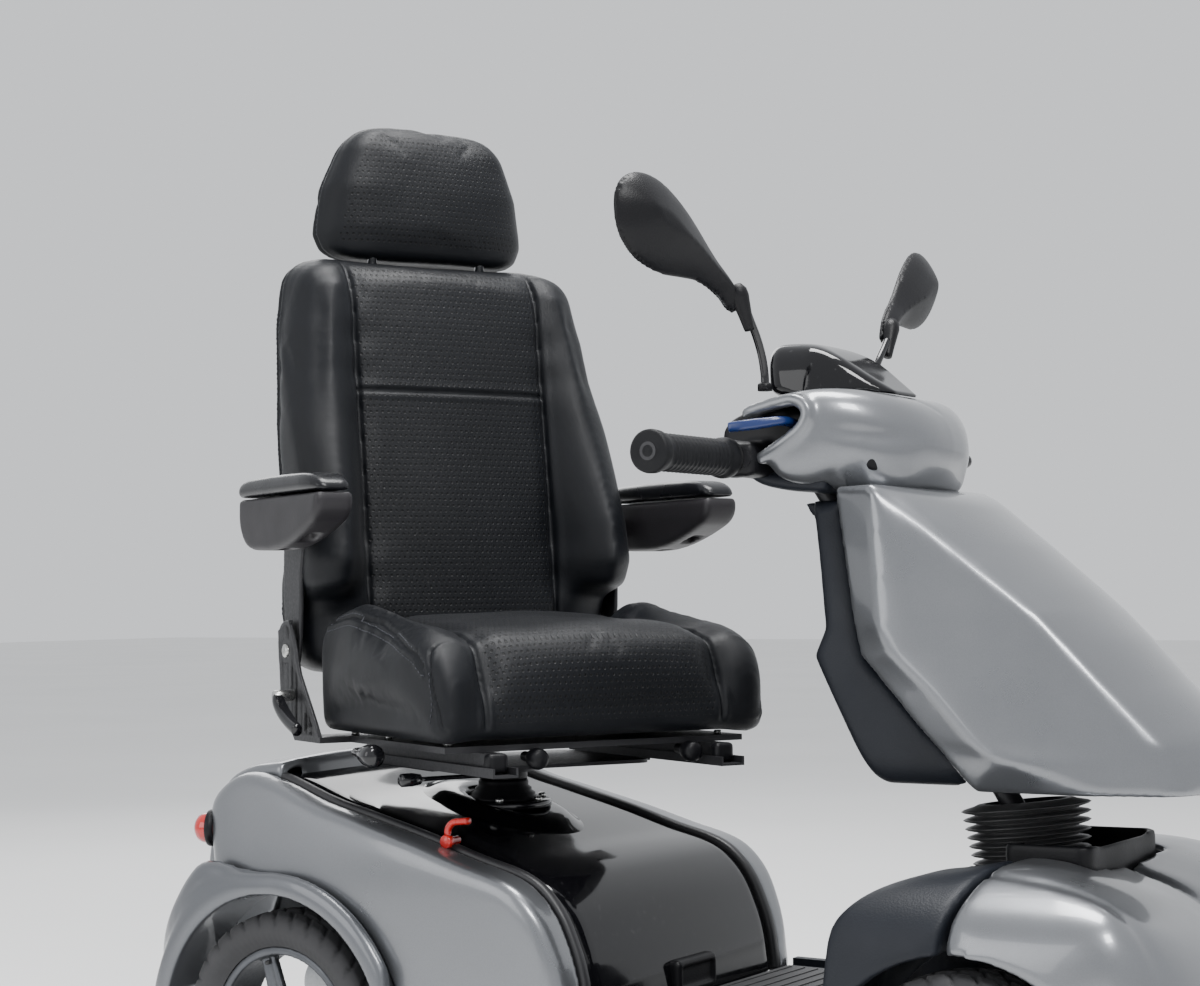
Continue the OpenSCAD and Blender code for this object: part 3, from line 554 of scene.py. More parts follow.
cad(["chassis_frame", "front_axle", "steering_column", "handlebar", "seat_frame", "swivel_base"], m_frame)
cad(["seat_post"], m_blackp)
cad(["transaxle"], m_cast, 0.002)
cad(["knuckle_right", "knuckle_left"], m_iron, 0.001)
cad(["tie_rod"], m_steel, 0.0008)
cad(["battery_right", "battery_left"], m_batt, 0.002)
cad(["floorboard"], m_dark, 0.003, 3)
cad(["floor_mat"], m_mat, 0.0008)
cad(["tail_lamp_right", "tail_lamp_left"], m_lampr, 0.002, 3)
cad(["freewheel_lever"], m_red, 0.0015)
cad(["speed_dial"], m_blackp, 0.001)
cad(["headlamp"], m_clear, 0)
cad(["mirror_glass_right", "mirror_glass_left"], m_mirror, 0.0006)
cad(["recline_lever", "slide_lever", "swivel_lever", "brake_lever"], m_blackg, 0.002, 3)
cad(["throttle_lever"], m_blue, 0.002, 3)
cad(["grip_right", "grip_left"], m_grip, 0.001)
cad(["centre_hood", "dash"], m_hood, 0.002)
cad(["hood_trim_right", "hood_trim_left"], m_trim, 0.002)
cad(["leg_shield", "front_fender_right", "front_fender_left"], m_dark, 0.003)
cad(["side_panel_right", "side_panel_left", "rear_deck", "front_cowl", "tiller_shield", "tiller_head"], m_silver, 0.004, 3)
cad(["rear_fender_right", "rear_fender_left"], m_fender, 0.003)
cad([n for n in N if n.startswith("tyre")], m_tyre, 0)
cad([n for n in N if n.startswith("rim")], m_rim, 0.001)
cad(["boot"], m_boot, 0.001)
cad(["mirror_right", "mirror_left"], m_blackp, 0.002)
cad(["cushion", "backrest", "headrest"], m_leather, 0)
cad(["armrest_right", "armrest_left"], m_pad, 0.003)

# ------------------------------------------------------------------ soft parts of the seat

SEAT = Matrix.Translation((0, 0.35, 0)) @ Matrix.Rotation(math.radians(-26.5), 4, "Z")


def to_seat(o):
    o.data.transform(SEAT)
    return o


def coords(me):
    a = np.empty(len(me.vertices) * 3, np.float64)
    me.vertices.foreach_get("co", a)
    return a.reshape(-1, 3)


def normals(me):
    a = np.empty(len(me.vertices) * 3, np.float64)
    me.vertex_normals.foreach_get("vector", a)
    return a.reshape(-1, 3)


def set_coords(me, P):
    me.vertices.foreach_set("co", np.ascontiguousarray(P, np.float64).ravel())
    me.update()


def inflate(o, cap=0.022, pressure=4.0, free=None, frames=20):
    """Fills the cover like a pressed cushion with the cloth solver. free(P) is 0 where it rests on something."""
    sc = bpy.context.scene
    P0 = coords(o.data)
    m = o.modifiers.new("fill", "CLOTH")
    s = m.settings
    s.quality, s.mass, s.time_scale = 4, 0.25, 1.0
    s.use_pressure, s.uniform_pressure_force = True, pressure
    s.tension_stiffness = s.compression_stiffness = 18
    s.shear_stiffness, s.bending_stiffness = 8, 1.2
    s.effector_weights.gravity = 0
    m.collision_settings.use_collision = False
    m.collision_settings.use_self_collision = False
    m.point_cache.frame_start, m.point_cache.frame_end = 1, frames
    for f in range(1, frames + 1):
        sc.frame_set(f)
    ev = o.evaluated_get(bpy.context.evaluated_depsgraph_get())
    P1 = coords(ev.data) if len(ev.data.vertices) == len(P0) else P0
    o.modifiers.remove(m)
    sc.frame_set(1)
    d = P1 - P0
    L = np.linalg.norm(d, axis=1, keepdims=True)
    d *= np.minimum(1, cap / np.maximum(L, 1e-9))
    if free is not None:
        d *= free(P0)[:, None]
    set_coords(o.data, P0 + d)
    return o


def refine(o, levels=1):
    """Applies a subdivision, so that seams can be pressed into the finer mesh."""
    m = o.modifiers.new("sub", "SUBSURF")
    m.levels = m.render_levels = levels
    ev = o.evaluated_get(bpy.context.evaluated_depsgraph_get())
    me = bpy.data.meshes.new_from_object(ev)
    o.modifiers.remove(m)
    old = o.data
    o.data = me
    bpy.data.meshes.remove(old)
    me.polygons.foreach_set("use_smooth", [True] * len(me.polygons))
    return o


def engrave(o, fn):
    """Moves each point along its normal by fn(P, normal)."""
    P, Nn = coords(o.data), normals(o.data)
    set_coords(o.data, P + Nn * fn(P, Nn)[:, None])
    return o


def groove(d, depth, width, lip=0.25):
    """A sewn valley with a slight roll on each side."""
    return -depth * np.exp(-(d / width) ** 2) + depth * lip * np.exp(-((abs(d) - 2.4 * width) / (1.2 * width)) ** 2)


def panel_uv(o, U, V, mask):
    at = o.data.attributes.new("panel_uv", "FLOAT_VECTOR", "POINT")
    at.data.foreach_set("vector", np.stack([U, V, mask], 1).astype(np.float32).ravel())


def stitches(name, surf, lines, pitch=0.0075, length=0.005, r=0.00075, lift=0.0003, facing=None):
    """Short raised threads laid on a surface along lines of points."""
    from mathutils.bvhtree import BVHTree
    t = BVHTree.FromPolygons([v.co for v in surf.data.vertices], [p.vertices for p in surf.data.polygons])
    V, F = [], []
    for ln in lines:
        L = np.array(ln, float)
        seg = np.linalg.norm(np.diff(L, axis=0), axis=1)
        s = np.concatenate([[0], np.cumsum(seg)])
        for c in np.arange(pitch / 2, s[-1] - length / 2, pitch):
            p = [Vector([np.interp(c + q * length / 2, s, L[:, k]) for k in range(3)]) for q in (-1, -0.5, 0, 0.5, 1)]
            hit = [t.find_nearest(q) for q in p]
            if any(h[0] is None for h in hit):
                continue
            ax = (hit[-1][0] - hit[0][0])
            if ax.length < length * 0.3:
                continue
            ax.normalize()
            b0 = len(V)
            for k, h in enumerate(hit):
                nn = h[1].normalized()
                side = ax.cross(nn).normalized()
                rr = r * (0.35, 0.9, 1, 0.9, 0.35)[k]
                dip = lift - (0.0007 if k in (0, 4) else 0)
                for i in range(6):
                    a = 2 * math.pi * i / 6
                    V.append(h[0] + nn * (dip + rr * math.sin(a)) + side * (rr * math.cos(a)))
            for k in range(4):
                for i in range(6):
                    a0, a1 = b0 + k * 6 + i, b0 + k * 6 + (i + 1) % 6
                    F.append((a0, a1, a1 + 6, a0 + 6))
            F.append(tuple(b0 + i for i in reversed(range(6))))
            F.append(tuple(b0 + 24 + i for i in range(6)))
    return clean(obj_from(name, V, F))


def lerp_h(x, xs, ys):
    return np.interp(x, xs, ys)


# cushion: low centre panel, raised bolsters, all in the seat's own frame (x side, y = -forward, z up)
C_MID = curve([(-0.297, 0.580), (-0.302, 0.615), (-0.290, 0.655), (-0.262, 0.683), (-0.215, 0.697), (-0.10, 0.702), (0.066, 0.699), (0.075, 0.62), (0.070, 0.566), (-0.285, 0.564)], 6, True, (7, 8, 9))
C_BOL = curve([(-0.299, 0.585), (-0.305, 0.618), (-0.300, 0.645), (-0.268, 0.676), (-0.18, 0.703), (-0.09, 0.722), (-0.02, 0.732), (0.045, 0.722), (0.066, 0.70), (0.070, 0.62), (0.066, 0.566), (-0.285, 0.564)], 6, True, (10, 11))


def f_cushion(X, Y, Z):
    Z2 = Z + 0 * Y
    dm = poly(C_MID, Y, Z)
    db = poly(C_BOL, Y, Z)
    crown = 0.007 * (1 - np.clip(abs(X) / 0.176, 0, 1) ** 2)
    mid = dm - crown * np.clip((Z - 0.60) / 0.06, 0, 1)
    mid = mid + 0.011 * np.exp(-((abs(X) - 0.176) / 0.018) ** 2) * np.clip((Z - 0.60) / 0.03, 0, 1)
    bulge = 0.004 * np.clip(1 - ((Z - 0.64) / 0.075) ** 2, 0, 1) * np.clip(1 - ((Y + 0.11) / 0.2) ** 2, 0, 1)
    side = abs(X) - 0.247 - bulge
    bol = smax(smax(db, 0.188 - abs(X), 0.05), side, 0.030)
    mid = smax(mid, side, 0.028)
    return smin(mid, bol, 0.016)


def flat_below(z0, z1):
    return lambda P: np.clip((P[:, 2] - z0) / (z1 - z0), 0, 1)


cush = sdf("seat_cushion", f_cushion, (-0.26, -0.315, 0.555), (0.26, 0.085, 0.745), 0.0055, 2)
inflate(cush, 0.008, 4.0, lambda P: np.clip((P[:, 2] - 0.572) / 0.03, 0, 1) * np.clip((0.055 - P[:, 1]) / 0.05, 0, 1))
refine(cush)
C_TOP = np.array([(0.07, 0.70), (-0.10, 0.702), (-0.215, 0.697), (-0.262, 0.683), (-0.290, 0.655), (-0.302, 0.615), (-0.297, 0.575)])
C_LEN = np.concatenate([[0], np.cumsum(np.linalg.norm(np.diff(C_TOP, axis=0), axis=1))])


def along(P, path, ln, a=1, b=2):
    """Length along a profile of the point nearest to each vertex."""
    best, out = np.full(len(P), 1e9), np.zeros(len(P))
    q = P[:, (a, b)]
    for i in range(len(path) - 1):
        e = path[i + 1] - path[i]
        t = np.clip(((q - path[i]) @ e) / (e @ e), 0, 1)
        d = np.linalg.norm(q - path[i] - t[:, None] * e, axis=1)
        w = d < best
        best[w], out[w] = d[w], (ln[i] + t * np.linalg.norm(e))[w]
    return out


def cushion_marks(P, Nn):
    x, y, z = abs(P[:, 0]), P[:, 1], P[:, 2]
    open_ = np.clip((z - 0.575) / 0.01, 0, 1)
    seam1 = groove(x - 0.178, 0.0042, 0.0032) * open_ * (Nn[:, 0] ** 2 < 0.8)
    # edge of the side panel: runs on the shoulder of the bolster, then down its front
    edge = np.clip((x - 0.205) / 0.02, 0, 1)
    top = lerp_h(-y, [-0.07, 0.0, 0.027, 0.10, 0.18, 0.24, 0.275, 0.30], [0.715, 0.725, 0.727, 0.716, 0.698, 0.680, 0.655, 0.60])
    d2 = (z - (top - 0.006)) * np.where(-y < 0.24, 1.0, 0.6) + np.where(-y > 0.262, (-y - 0.278) * 0.9, 0)
    seam2 = groove(d2, 0.0030, 0.0028, 0.35) * edge * open_
    # soft creases, strongest at the front corners and near the back rest
    n = 0.0011 * np.sin(P[:, 0] * 31 + 1.3 * np.sin(P[:, 1] * 19)) * np.cos(P[:, 1] * 27 + P[:, 0] * 8)
    n += 0.0012 * np.exp(-((x - 0.178) / 0.03) ** 2) * np.sin(P[:, 1] * 95 + 3 * np.sin(P[:, 1] * 23))
    return seam1 + seam2 + n * open_


engrave(cush, cushion_marks)
Pc = coords(cush.data)
panel_uv(cush, Pc[:, 0], along(Pc, C_TOP, C_LEN), ((abs(Pc[:, 0]) < 0.166) & (Pc[:, 2] > 0.585) & (Pc[:, 1] < 0.06)).astype(float))
sl = []
for s_ in (-1, 1):
    for off in (0.0045, -0.0135):
        ys = np.linspace(0.05, -0.262, 60)
        sl.append([(s_ * 0.2445, y, lerp_h(-y, [-0.07, 0.0, 0.027, 0.10, 0.18, 0.24, 0.275], [0.715, 0.725, 0.727, 0.716, 0.698, 0.680, 0.655]) - 0.006 + off) for y in ys])
        if off < 0:
            sl.append([(s_ * 0.247, -0.272 - 0.006 * math.sin(k / 20 * 3), 0.652 - 0.07 * k / 20) for k in range(21)])
st = stitches("cushion_stitches", cush, sl)
put(to_seat(st), "seat", m_thread)
put(to_seat(cush), "seat", m_perf, "cushion")

# back rest: perforated centre between bolsters that stand forward low down
BZ = [0.60, 0.70, 0.88, 1.05, 1.15, 1.24, 1.27]
BF = [0.112, 0.115, 0.136, 0.157, 0.169, 0.183, 0.190]
BB = [0.195, 0.225, 0.243, 0.258, 0.268, 0.278, 0.280]
BP = [0.0, 0.010, 0.062, 0.080, 0.074, 0.056, 0.036, 0.016, 0.004, 0.0]
BPZ = [0.72, 0.74, 0.765, 0.80, 0.86, 0.93, 1.0, 1.08, 1.16, 1.22]


def f_back(X, Y, Z):
    front = np.interp(Z, BZ, BF)
    back = np.interp(Z, BZ, BB)
    prot = np.interp(Z, BPZ, BP)
    ax = abs(X)
    t = np.clip((ax - 0.150) / 0.062, 0, 1)
    t = t * t * (3 - 2 * t)
    crown = 0.010 * (1 - np.clip(ax / 0.15, 0, 1) ** 2)
    roll = 0.007 * np.exp(-((ax - 0.200) / 0.035) ** 2)
    seam = 0.008 * np.exp(-((ax - 0.152) / 0.012) ** 2)
    yf = front - prot * t - crown - roll + seam
    hw = np.interp(Z, [0.60, 0.66, 0.72, 1.0, 1.14, 1.22, 1.26], [0.226, 0.244, 0.252, 0.253, 0.246, 0.232, 0.222])
    d = smax((yf - Y) * 0.93, (Y - back) * 0.98, 0.028)
    # the bolster's outer face leans back round to the side
    d = smax(d, ax - hw, 0.042)
    d = smax(d, Z - 1.249 + 0.10 * np.clip(ax - 0.17, 0, 1) ** 1.0 * 0.5, 0.045)
    return smax(d, 0.640 - Z, 0.03)


bk = sdf("back_cover", f_back, (-0.27, 0.04, 0.63), (0.27, 0.30, 1.26), 0.006, 2)
inflate(bk, 0.007, 4.0, lambda P: np.clip((P[:, 2] - 0.66) / 0.04, 0, 1) * np.clip((0.25 - P[:, 1]) / 0.04, 0, 1))
refine(bk)


def back_marks(P, Nn):
    x, y, z = abs(P[:, 0]), P[:, 1], P[:, 2]
    fr = (Nn[:, 1] < 0.1)
    s1 = groove(x - 0.152, 0.0048, 0.0034) * fr * np.clip((1.245 - z) / 0.02, 0, 1)
    s2 = groove(z - 1.048, 0.0040, 0.0032) * fr * (x < 0.152)
    s3 = groove(x - 0.2485 + 0.02 * np.clip(z - 1.1, 0, 1), 0.0026, 0.0026, 0.4) * np.clip((Nn[:, 1] + 0.95) * 3, 0, 1) * (y < 0.20) * (z > 0.70) * 0
    s4 = groove(y - np.interp(z, BZ, BB) + 0.030, 0.0028, 0.0030, 0.4) * (abs(Nn[:, 0]) + np.clip(Nn[:, 2], 0, 1) > 0.6)
    n = 0.0012 * np.sin(P[:, 2] * 24 + 1.1 * np.sin(P[:, 0] * 21)) * np.cos(P[:, 0] * 17)
    n += 0.0011 * np.exp(-((x - 0.152) / 0.03) ** 2) * np.sin(z * 70 + 2.5 * np.sin(z * 17))
    return s1 + s2 + s4 + n


engrave(bk, back_marks)
Pb, Nb = coords(bk.data), normals(bk.data)
panel_uv(bk, Pb[:, 0], Pb[:, 2], ((abs(Pb[:, 0]) < 0.146) & (Nb[:, 1] < -0.2) & (abs(Pb[:, 2] - 1.048) > 0.006) & (Pb[:, 2] < 1.235)).astype(float))
sl = []
for s_ in (-1, 1):
    for off in (-0.004, 0.005):
        sl.append([(s_ * (0.251 - 0.03 * max(0, z - 1.14)), np.interp(z, BZ, BB) - 0.030 + off, z) for z in np.linspace(0.72, 1.17, 60)])
st = stitches("back_stitches", bk, sl)
put(to_seat(st), "back", m_thread)
put(to_seat(bk), "back", m_perf, "backrest")

# head rest
HW = ([1.250, 1.268, 1.29, 1.36, 1.42, 1.45, 1.47], [0.150, 0.167, 0.176, 0.162, 0.136, 0.118, 0.10])


def f_head(X, Y, Z):
    ax = abs(X)
    yf = np.interp(Z, [1.25, 1.30, 1.36, 1.42, 1.47], [0.232, 0.218, 0.216, 0.226, 0.246]) - 0.008 * (1 - np.clip(ax / 0.16, 0, 1) ** 2) + 0.03 * np.clip((ax - 0.09) / 0.09, 0, 1) ** 2
    yb = np.interp(Z, [1.25, 1.30, 1.42, 1.47], [0.290, 0.300, 0.300, 0.284])
    d = smax((yf - Y) * 0.96, Y - yb, 0.035)
    d = smax(d, (ax - np.interp(Z, *HW)) * 0.95, 0.034)
    d = smax(d, Z - 1.464, 0.040)
    return smax(d, 1.2525 - Z, 0.020)


hd = sdf("head_pad", f_head, (-0.19, 0.20, 1.243), (0.19, 0.31, 1.47), 0.005, 2)
inflate(hd, 0.006, 4.0, lambda P: np.clip((P[:, 2] - 1.268) / 0.03, 0, 1))
refine(hd)
engrave(hd, lambda P, Nn: groove(P[:, 1] - 0.268, 0.0030, 0.0030, 0.4) + 0.0009 * np.sin(P[:, 0] * 33) * np.cos(P[:, 2] * 37))
Ph, Nh = coords(hd.data), normals(hd.data)
panel_uv(hd, Ph[:, 0], Ph[:, 2], ((abs(Ph[:, 0]) < np.interp(Ph[:, 2], *HW) - 0.030) & (Nh[:, 1] < -0.5) & (Ph[:, 2] < 1.440) & (Ph[:, 2] > 1.275)).astype(float))
st = stitches("head_stitches", hd, [[(s_ * (np.interp(z, *HW) - 0.004), 0.2625, z) for z in np.linspace(1.285, 1.43, 30)] for s_ in (-1, 1)])
put(to_seat(st), "headrest", m_thread)
put(to_seat(hd), "headrest", m_perf, "headrest")
posts = None
for s_ in (-1, 1):
    p = revolve("head_post_right" if s_ < 0 else "head_post_left", [(0.0001, 1.215), (0.0068, 1.216), (0.0068, 1.262), (0.0115, 1.264), (0.0115, 1.272), (0.0001, 1.273)], (s_ * 0.09, 0.24, 0), (0, 0, 1), 24)
    put(to_seat(p), "headrest", m_chrome)

# ------------------------------------------------------------------ body panels

def recolor(o, fn, thr, mat2):
    """Faces that lie deeper than thr inside the outer skin take the second material."""
    o.data.materials.append(mat2)
    P = coords(o.data)
    c = np.array([P[list(p.vertices)].mean(0) for p in o.data.polygons])
    d = np.broadcast_to(fn(c[:, 0], c[:, 1], c[:, 2]), (len(c),))
    idx = (d < thr).astype(np.int32)
    o.data.polygons.foreach_set("material_index", idx)
    return o


SHOULDER = np.array([(0.045, 0.205), (0.049, 0.235), (0.054, 0.268), (0.064, 0.301), (0.086, 0.346), (0.116, 0.377), (0.148, 0.393), (0.210, 0.409), (0.290, 0.432), (0.390, 0.457), (0.458, 0.474), (0.530, 0.499)])
SP = curve(list(map(tuple, SHOULDER)) + [(0.592, 0.508), (0.640, 0.478), (0.653, 0.455), (0.653, 0.427), (0.638, 0.390), (0.626, 0.200)], 6, True, (0, 17))
SPLAN = curve([(0.249, 0.0), (0.278, 0.030), (0.300, 0.085), (0.310, 0.20), (0.312, 0.40), (0.310, 0.56), (0.298, 0.62), (0.274, 0.655), (0.249, 0.668)], 6, False)
SPLAN = np.vstack([SPLAN, [(0.20, 0.668), (0.20, 0.0)]])
SFRONT = np.vstack([curve([(0.312, 0.15), (0.312, 0.34), (0.308, 0.40), (0.297, 0.45), (0.283, 0.50), (0.262, 0.56)], 6, False), [(0.20, 0.56), (0.20, 0.15)]])


def f_side_out(X, Y, Z):
    ax = abs(X)
    a = poly(SP, Y, Z)
    b = poly(SPLAN, ax, Y)
    c = poly(SFRONT, ax, Z)
    return smax(smax(a, b, 0.020), c, 0.020)


def f_side(X, Y, Z):
    d = f_side_out(X, Y, Z)
    ax = abs(X)
    r = np.sqrt((Y - 0.495) ** 2 + (Z - 0.165) ** 2)
    # rolled lip around the wheel
    d = smax(d, 0.2055 - r, 0.006)
    d = np.maximum(d, -(d + 0.0075))
    return smax(d, 0.2495 - ax, 0.004)


sp_ = sdf("side_shell_right", f_side, (-0.32, 0.03, 0.175), (-0.245, 0.67, 0.53), 0.0042, 3)
put(sp_, "chassis", m_silver, "side_panel_right")
put(mirrored(sp_, "side_shell_left"), "chassis", m_silver, "side_panel_left")

FPROF = curve([(0.495, 0.16), (0.495, 0.369), (0.560, 0.386), (0.600, 0.393), (0.628, 0.389), (0.650, 0.372), (0.676, 0.343), (0.703, 0.308), (0.721, 0.278), (0.728, 0.248), (0.727, 0.20), (0.60, 0.16)], 6, True, (0, 1, 10, 11))
FPLAN = np.vstack([curve([(0.330, 0.40), (0.332, 0.60), (0.326, 0.665), (0.306, 0.712), (0.270, 0.730)], 6, False), [(0.20, 0.730), (0.20, 0.2), (0.332, 0.2)]])


def f_fend(X, Y, Z):
    ax = abs(X)
    r = np.sqrt((Y - 0.495) ** 2 + (Z - 0.165) ** 2)
    tail = smax(poly(FPROF, Y, Z), poly(FPLAN, ax, Y), 0.022)
    pan = np.maximum(poly(SP, Y, Z) - 0.0012, ax - 0.3115)
    tail = np.maximum(tail, -np.maximum(pan, 0.2 - r))
    rim_ = smax(smax(r - 0.2045, 0.1885 - r, 0.007), smax(ax - 0.331, 0.247 - ax, 0.006), 0.007)
    # the arch's flange spreads outward
    fl = smax(smax(r - 0.2185, 0.1885 - r, 0.008), smax(ax - 0.3315, 0.3125 - ax, 0.008), 0.010)
    d = smin(smin(tail, rim_, 0.008), fl, 0.012)
    d = smax(d, 0.1885 - r, 0.004)
    inner = smax(poly(FPROF, Y, Z), poly(FPLAN, ax, Y), 0.022) + 0.0075
    inner = np.maximum(inner, 0.2005 - r)
    d = np.maximum(d, -np.maximum(inner, ax - 0.323))
    return smax(smax(d, 0.208 - Z, 0.004), 0.302 - Y, 0.006)


fd = sdf("rear_arch_right", f_fend, (-0.34, 0.29, 0.19), (-0.24, 0.74, 0.40), 0.0042, 3)
put(fd, "chassis", m_fender, "rear_fender_right")
put(mirrored(fd, "rear_arch_left"), "chassis", m_fender, "rear_fender_left")

# black hood between the side panels, with its crown and front fall
HP = curve(list(map(tuple, SHOULDER)) + [(0.556, 0.505)], 10, False)[3:]
nx = 49
hoodg = []
for i in range(nx):
    x = -0.2315 + 0.463 * i / (nx - 1)
    u = abs(x) / 0.2315
    row = []
    for y, z in HP:
        top = np.clip((y - 0.05) / 0.12, 0, 1)
        edge = 0.010 * max(0, (u - 0.93) / 0.07) ** 2
        row.append((x, y - 0.006 * (1 - u ** 2) * (1 - top) + edge * (1 - top), z - 0.0012 + 0.004 * (1 - u ** 2) * top - edge * top))
    hoodg.append(row)
hood = gridmesh("hood_shell", np.array(hoodg))
bm = bmesh.new(); bm.from_mesh(hood.data)
# round opening for the seat post
dead = [f for f in bm.faces if (f.calc_center_median().x ** 2 + (f.calc_center_median().y - 0.35) ** 2) ** 0.5 < 0.052 and f.calc_center_median().z > 0.4]
bmesh.ops.delete(bm, geom=dead, context="FACES")
bm.to_mesh(hood.data); bm.free()
so = hood.modifiers.new("thick", "SOLIDIFY"); so.thickness = 0.005; so.offset = -1
if hood.data.polygons[600].normal.z < 0:
    hood.data.flip_normals()
bv = hood.modifiers.new("edge", "BEVEL"); bv.width, bv.segments, bv.limit_method, bv.angle_limit = 0.0015, 2, "ANGLE", math.radians(50)
put(hood, "chassis", m_hood, "centre_hood")


def f_tray(X, Y, Z):
    """Raised plinth round the post, with a low flat rim round it."""
    surf = np.interp(Y, SHOULDER[:, 0], SHOULDER[:, 1])
    r = np.sqrt(X ** 2 + ((Y - 0.35) * 0.82) ** 2)
    top = surf + 0.016 * (1 - 1 / (1 + np.exp(-(r - 0.088) / 0.006)))
    d = (Z - top) * 0.9
    d = smax(d, r - 0.118, 0.010)
    d = smax(d, surf - 0.004 - Z, 0.002)
    return smax(d, 0.052 - np.sqrt(X ** 2 + (Y - 0.35) ** 2), 0.004)


tr = sdf("post_plinth", f_tray, (-0.125, 0.20, 0.40), (0.125, 0.50, 0.50), 0.0035, 3)
put(tr, "chassis", m_hood)


def f_port(X, Y, Z):
    d = rbox(X, Y, Z, (0, 0.045, 0.242), (0.050, 0.013, 0.023), 0.007)
    d = smax(d, -rbox(X, Y, Z, (0, 0.030, 0.242), (0.040, 0.006, 0.014), 0.004), 0.002)
    return d


pt = sdf("socket_cover", f_port, (-0.06, 0.02, 0.21), (0.06, 0.07, 0.27), 0.0022, 1)
put(pt, "chassis", m_blackp)


def strip_path(off):
    c = curve(list(map(tuple, SHOULDER)) + [(0.545, 0.503)], 8, False)[2:]
    t = np.gradient(c, axis=0); t /= np.linalg.norm(t, axis=1)[:, None]
    nrm = np.stack([-t[:, 1], t[:, 0]], 1)
    return c + nrm * off, nrm


c_, nr_ = strip_path(-0.0035)
path = np.column_stack([np.full(len(c_), -0.2405), c_])
up = np.column_stack([np.zeros(len(c_)), nr_])
trim_sec = [(-0.0082, -0.012), (0.0082, -0.012), (0.0082, 0.0030), (0.0070, 0.0060), (0.0035, 0.0078), (-0.0035, 0.0078), (-0.0070, 0.0060), (-0.0082, 0.0030)]
tm = sweep("trim_strip_right", path, trim_sec, up)
bm = bmesh.new(); bm.from_mesh(tm.data)
bm.to_mesh(tm.data); bm.free()
put(tm, "chassis", m_trim, "hood_trim_right")
put(mirrored(tm, "trim_strip_left"), "chassis", m_trim, "hood_trim_left")

DECK = curve([(0.545, 0.512), (0.548, 0.528), (0.590, 0.528), (0.628, 0.521), (0.664, 0.501), (0.686, 0.462), (0.699, 0.400), (0.707, 0.320), (0.706, 0.246), (0.60, 0.246), (0.545, 0.40)], 6, True, (0, 8, 9, 10))


def f_deck_out(X, Y, Z):
    ax = abs(X)
    rear = 0.015 * np.clip(ax / 0.245, 0, 1) ** 3
    return smax(poly(DECK, Y + rear, Z + 0.010 * np.clip(ax / 0.245, 0, 1) ** 3), ax - 0.2462, 0.010)


def f_deck(X, Y, Z):
    o = f_deck_out(X, Y, Z)
    d = np.maximum(o, -(o + 0.0125))
    for i in (-1.5, -0.5, 0.5, 1.5):
        a = capsule(X, Y, 0 * Z + 0.5, (i * 0.03, 0.588, 0.5), (i * 0.03, 0.612, 0.5), 0.0042)
        d = smax(d, -np.maximum(a, 0.50 - Z), 0.002)
    return smax(np.maximum(d, 0.25 - Z), 0.546 - Y, 0.003)


dk = sdf("deck_shell", f_deck, (-0.25, 0.54, 0.245), (0.25, 0.72, 0.535), 0.0045, 2)
put(dk, "chassis", m_silver, "rear_deck")

for s_, nm in ((-1, "right"), (1, "left")):
    lp = revolve("lamp_lens_" + nm, [(0.0001, 0.023), (0.006, 0.0228), (0.012, 0.021), (0.0175, 0.0165), (0.0205, 0.010), (0.0215, 0.002), (0.0215, -0.006), (0.0001, -0.006)], (s_ * 0.274, 0.6505, 0.430), (s_ * 0.42, 0.9, 0.0), 48, lambda t, r, h: -0.0006 if (h > 0.004 and int(r * 1000) % 3 == 0) else 0)
    put(lp, "chassis", m_lampr, "tail_lamp_" + nm)
    bz = revolve("lamp_ring_" + nm, [(0.0218, -0.008), (0.0252, -0.008), (0.0252, 0.001), (0.0242, 0.003), (0.0226, 0.003), (0.0218, 0.001), (0.0218, -0.008)], (s_ * 0.274, 0.6505, 0.430), (s_ * 0.42, 0.9, 0.0), 48)
    put(bz, "chassis", m_blackp)

# ------------------------------------------------------------------ wheels

def tread(t, r, h):
    if r < 0.150:
        return 0.0006 * math.sin(t * 90) * (1 if 0.128 < r < 0.133 else 0)
    a = abs(h)
    n = 34
    if a < 0.004:
        return -0.0045
    if 0.0185 < a < 0.0225:
        return -0.0042
    ph = (t * n / (2 * math.pi) + (a - 0.02) * 24 * (1 if h > 0 else -1) + (0.5 if a > 0.0225 else 0)) % 1
    w = 0.20 if a > 0.0225 else 0.15
    return -0.0040 if ph < w else 0


T_OUT = [(0.1183, -0.0346), (0.1235, -0.0385), (0.131, -0.0440), (0.139, -0.0472), (0.146, -0.0475), (0.151, -0.0462), (0.1555, -0.0435), (0.159, -0.0405)]
T_MID = [(0.1612 + 0.0038 * (1 - (h / 0.038) ** 2), h) for h in np.linspace(-0.038, 0.038, 39)]
T_IN = [(0.1205, 0.030), (0.1205, -0.030)]
tprof = T_OUT + T_MID + [(r, -h) for r, h in reversed(T_OUT)]


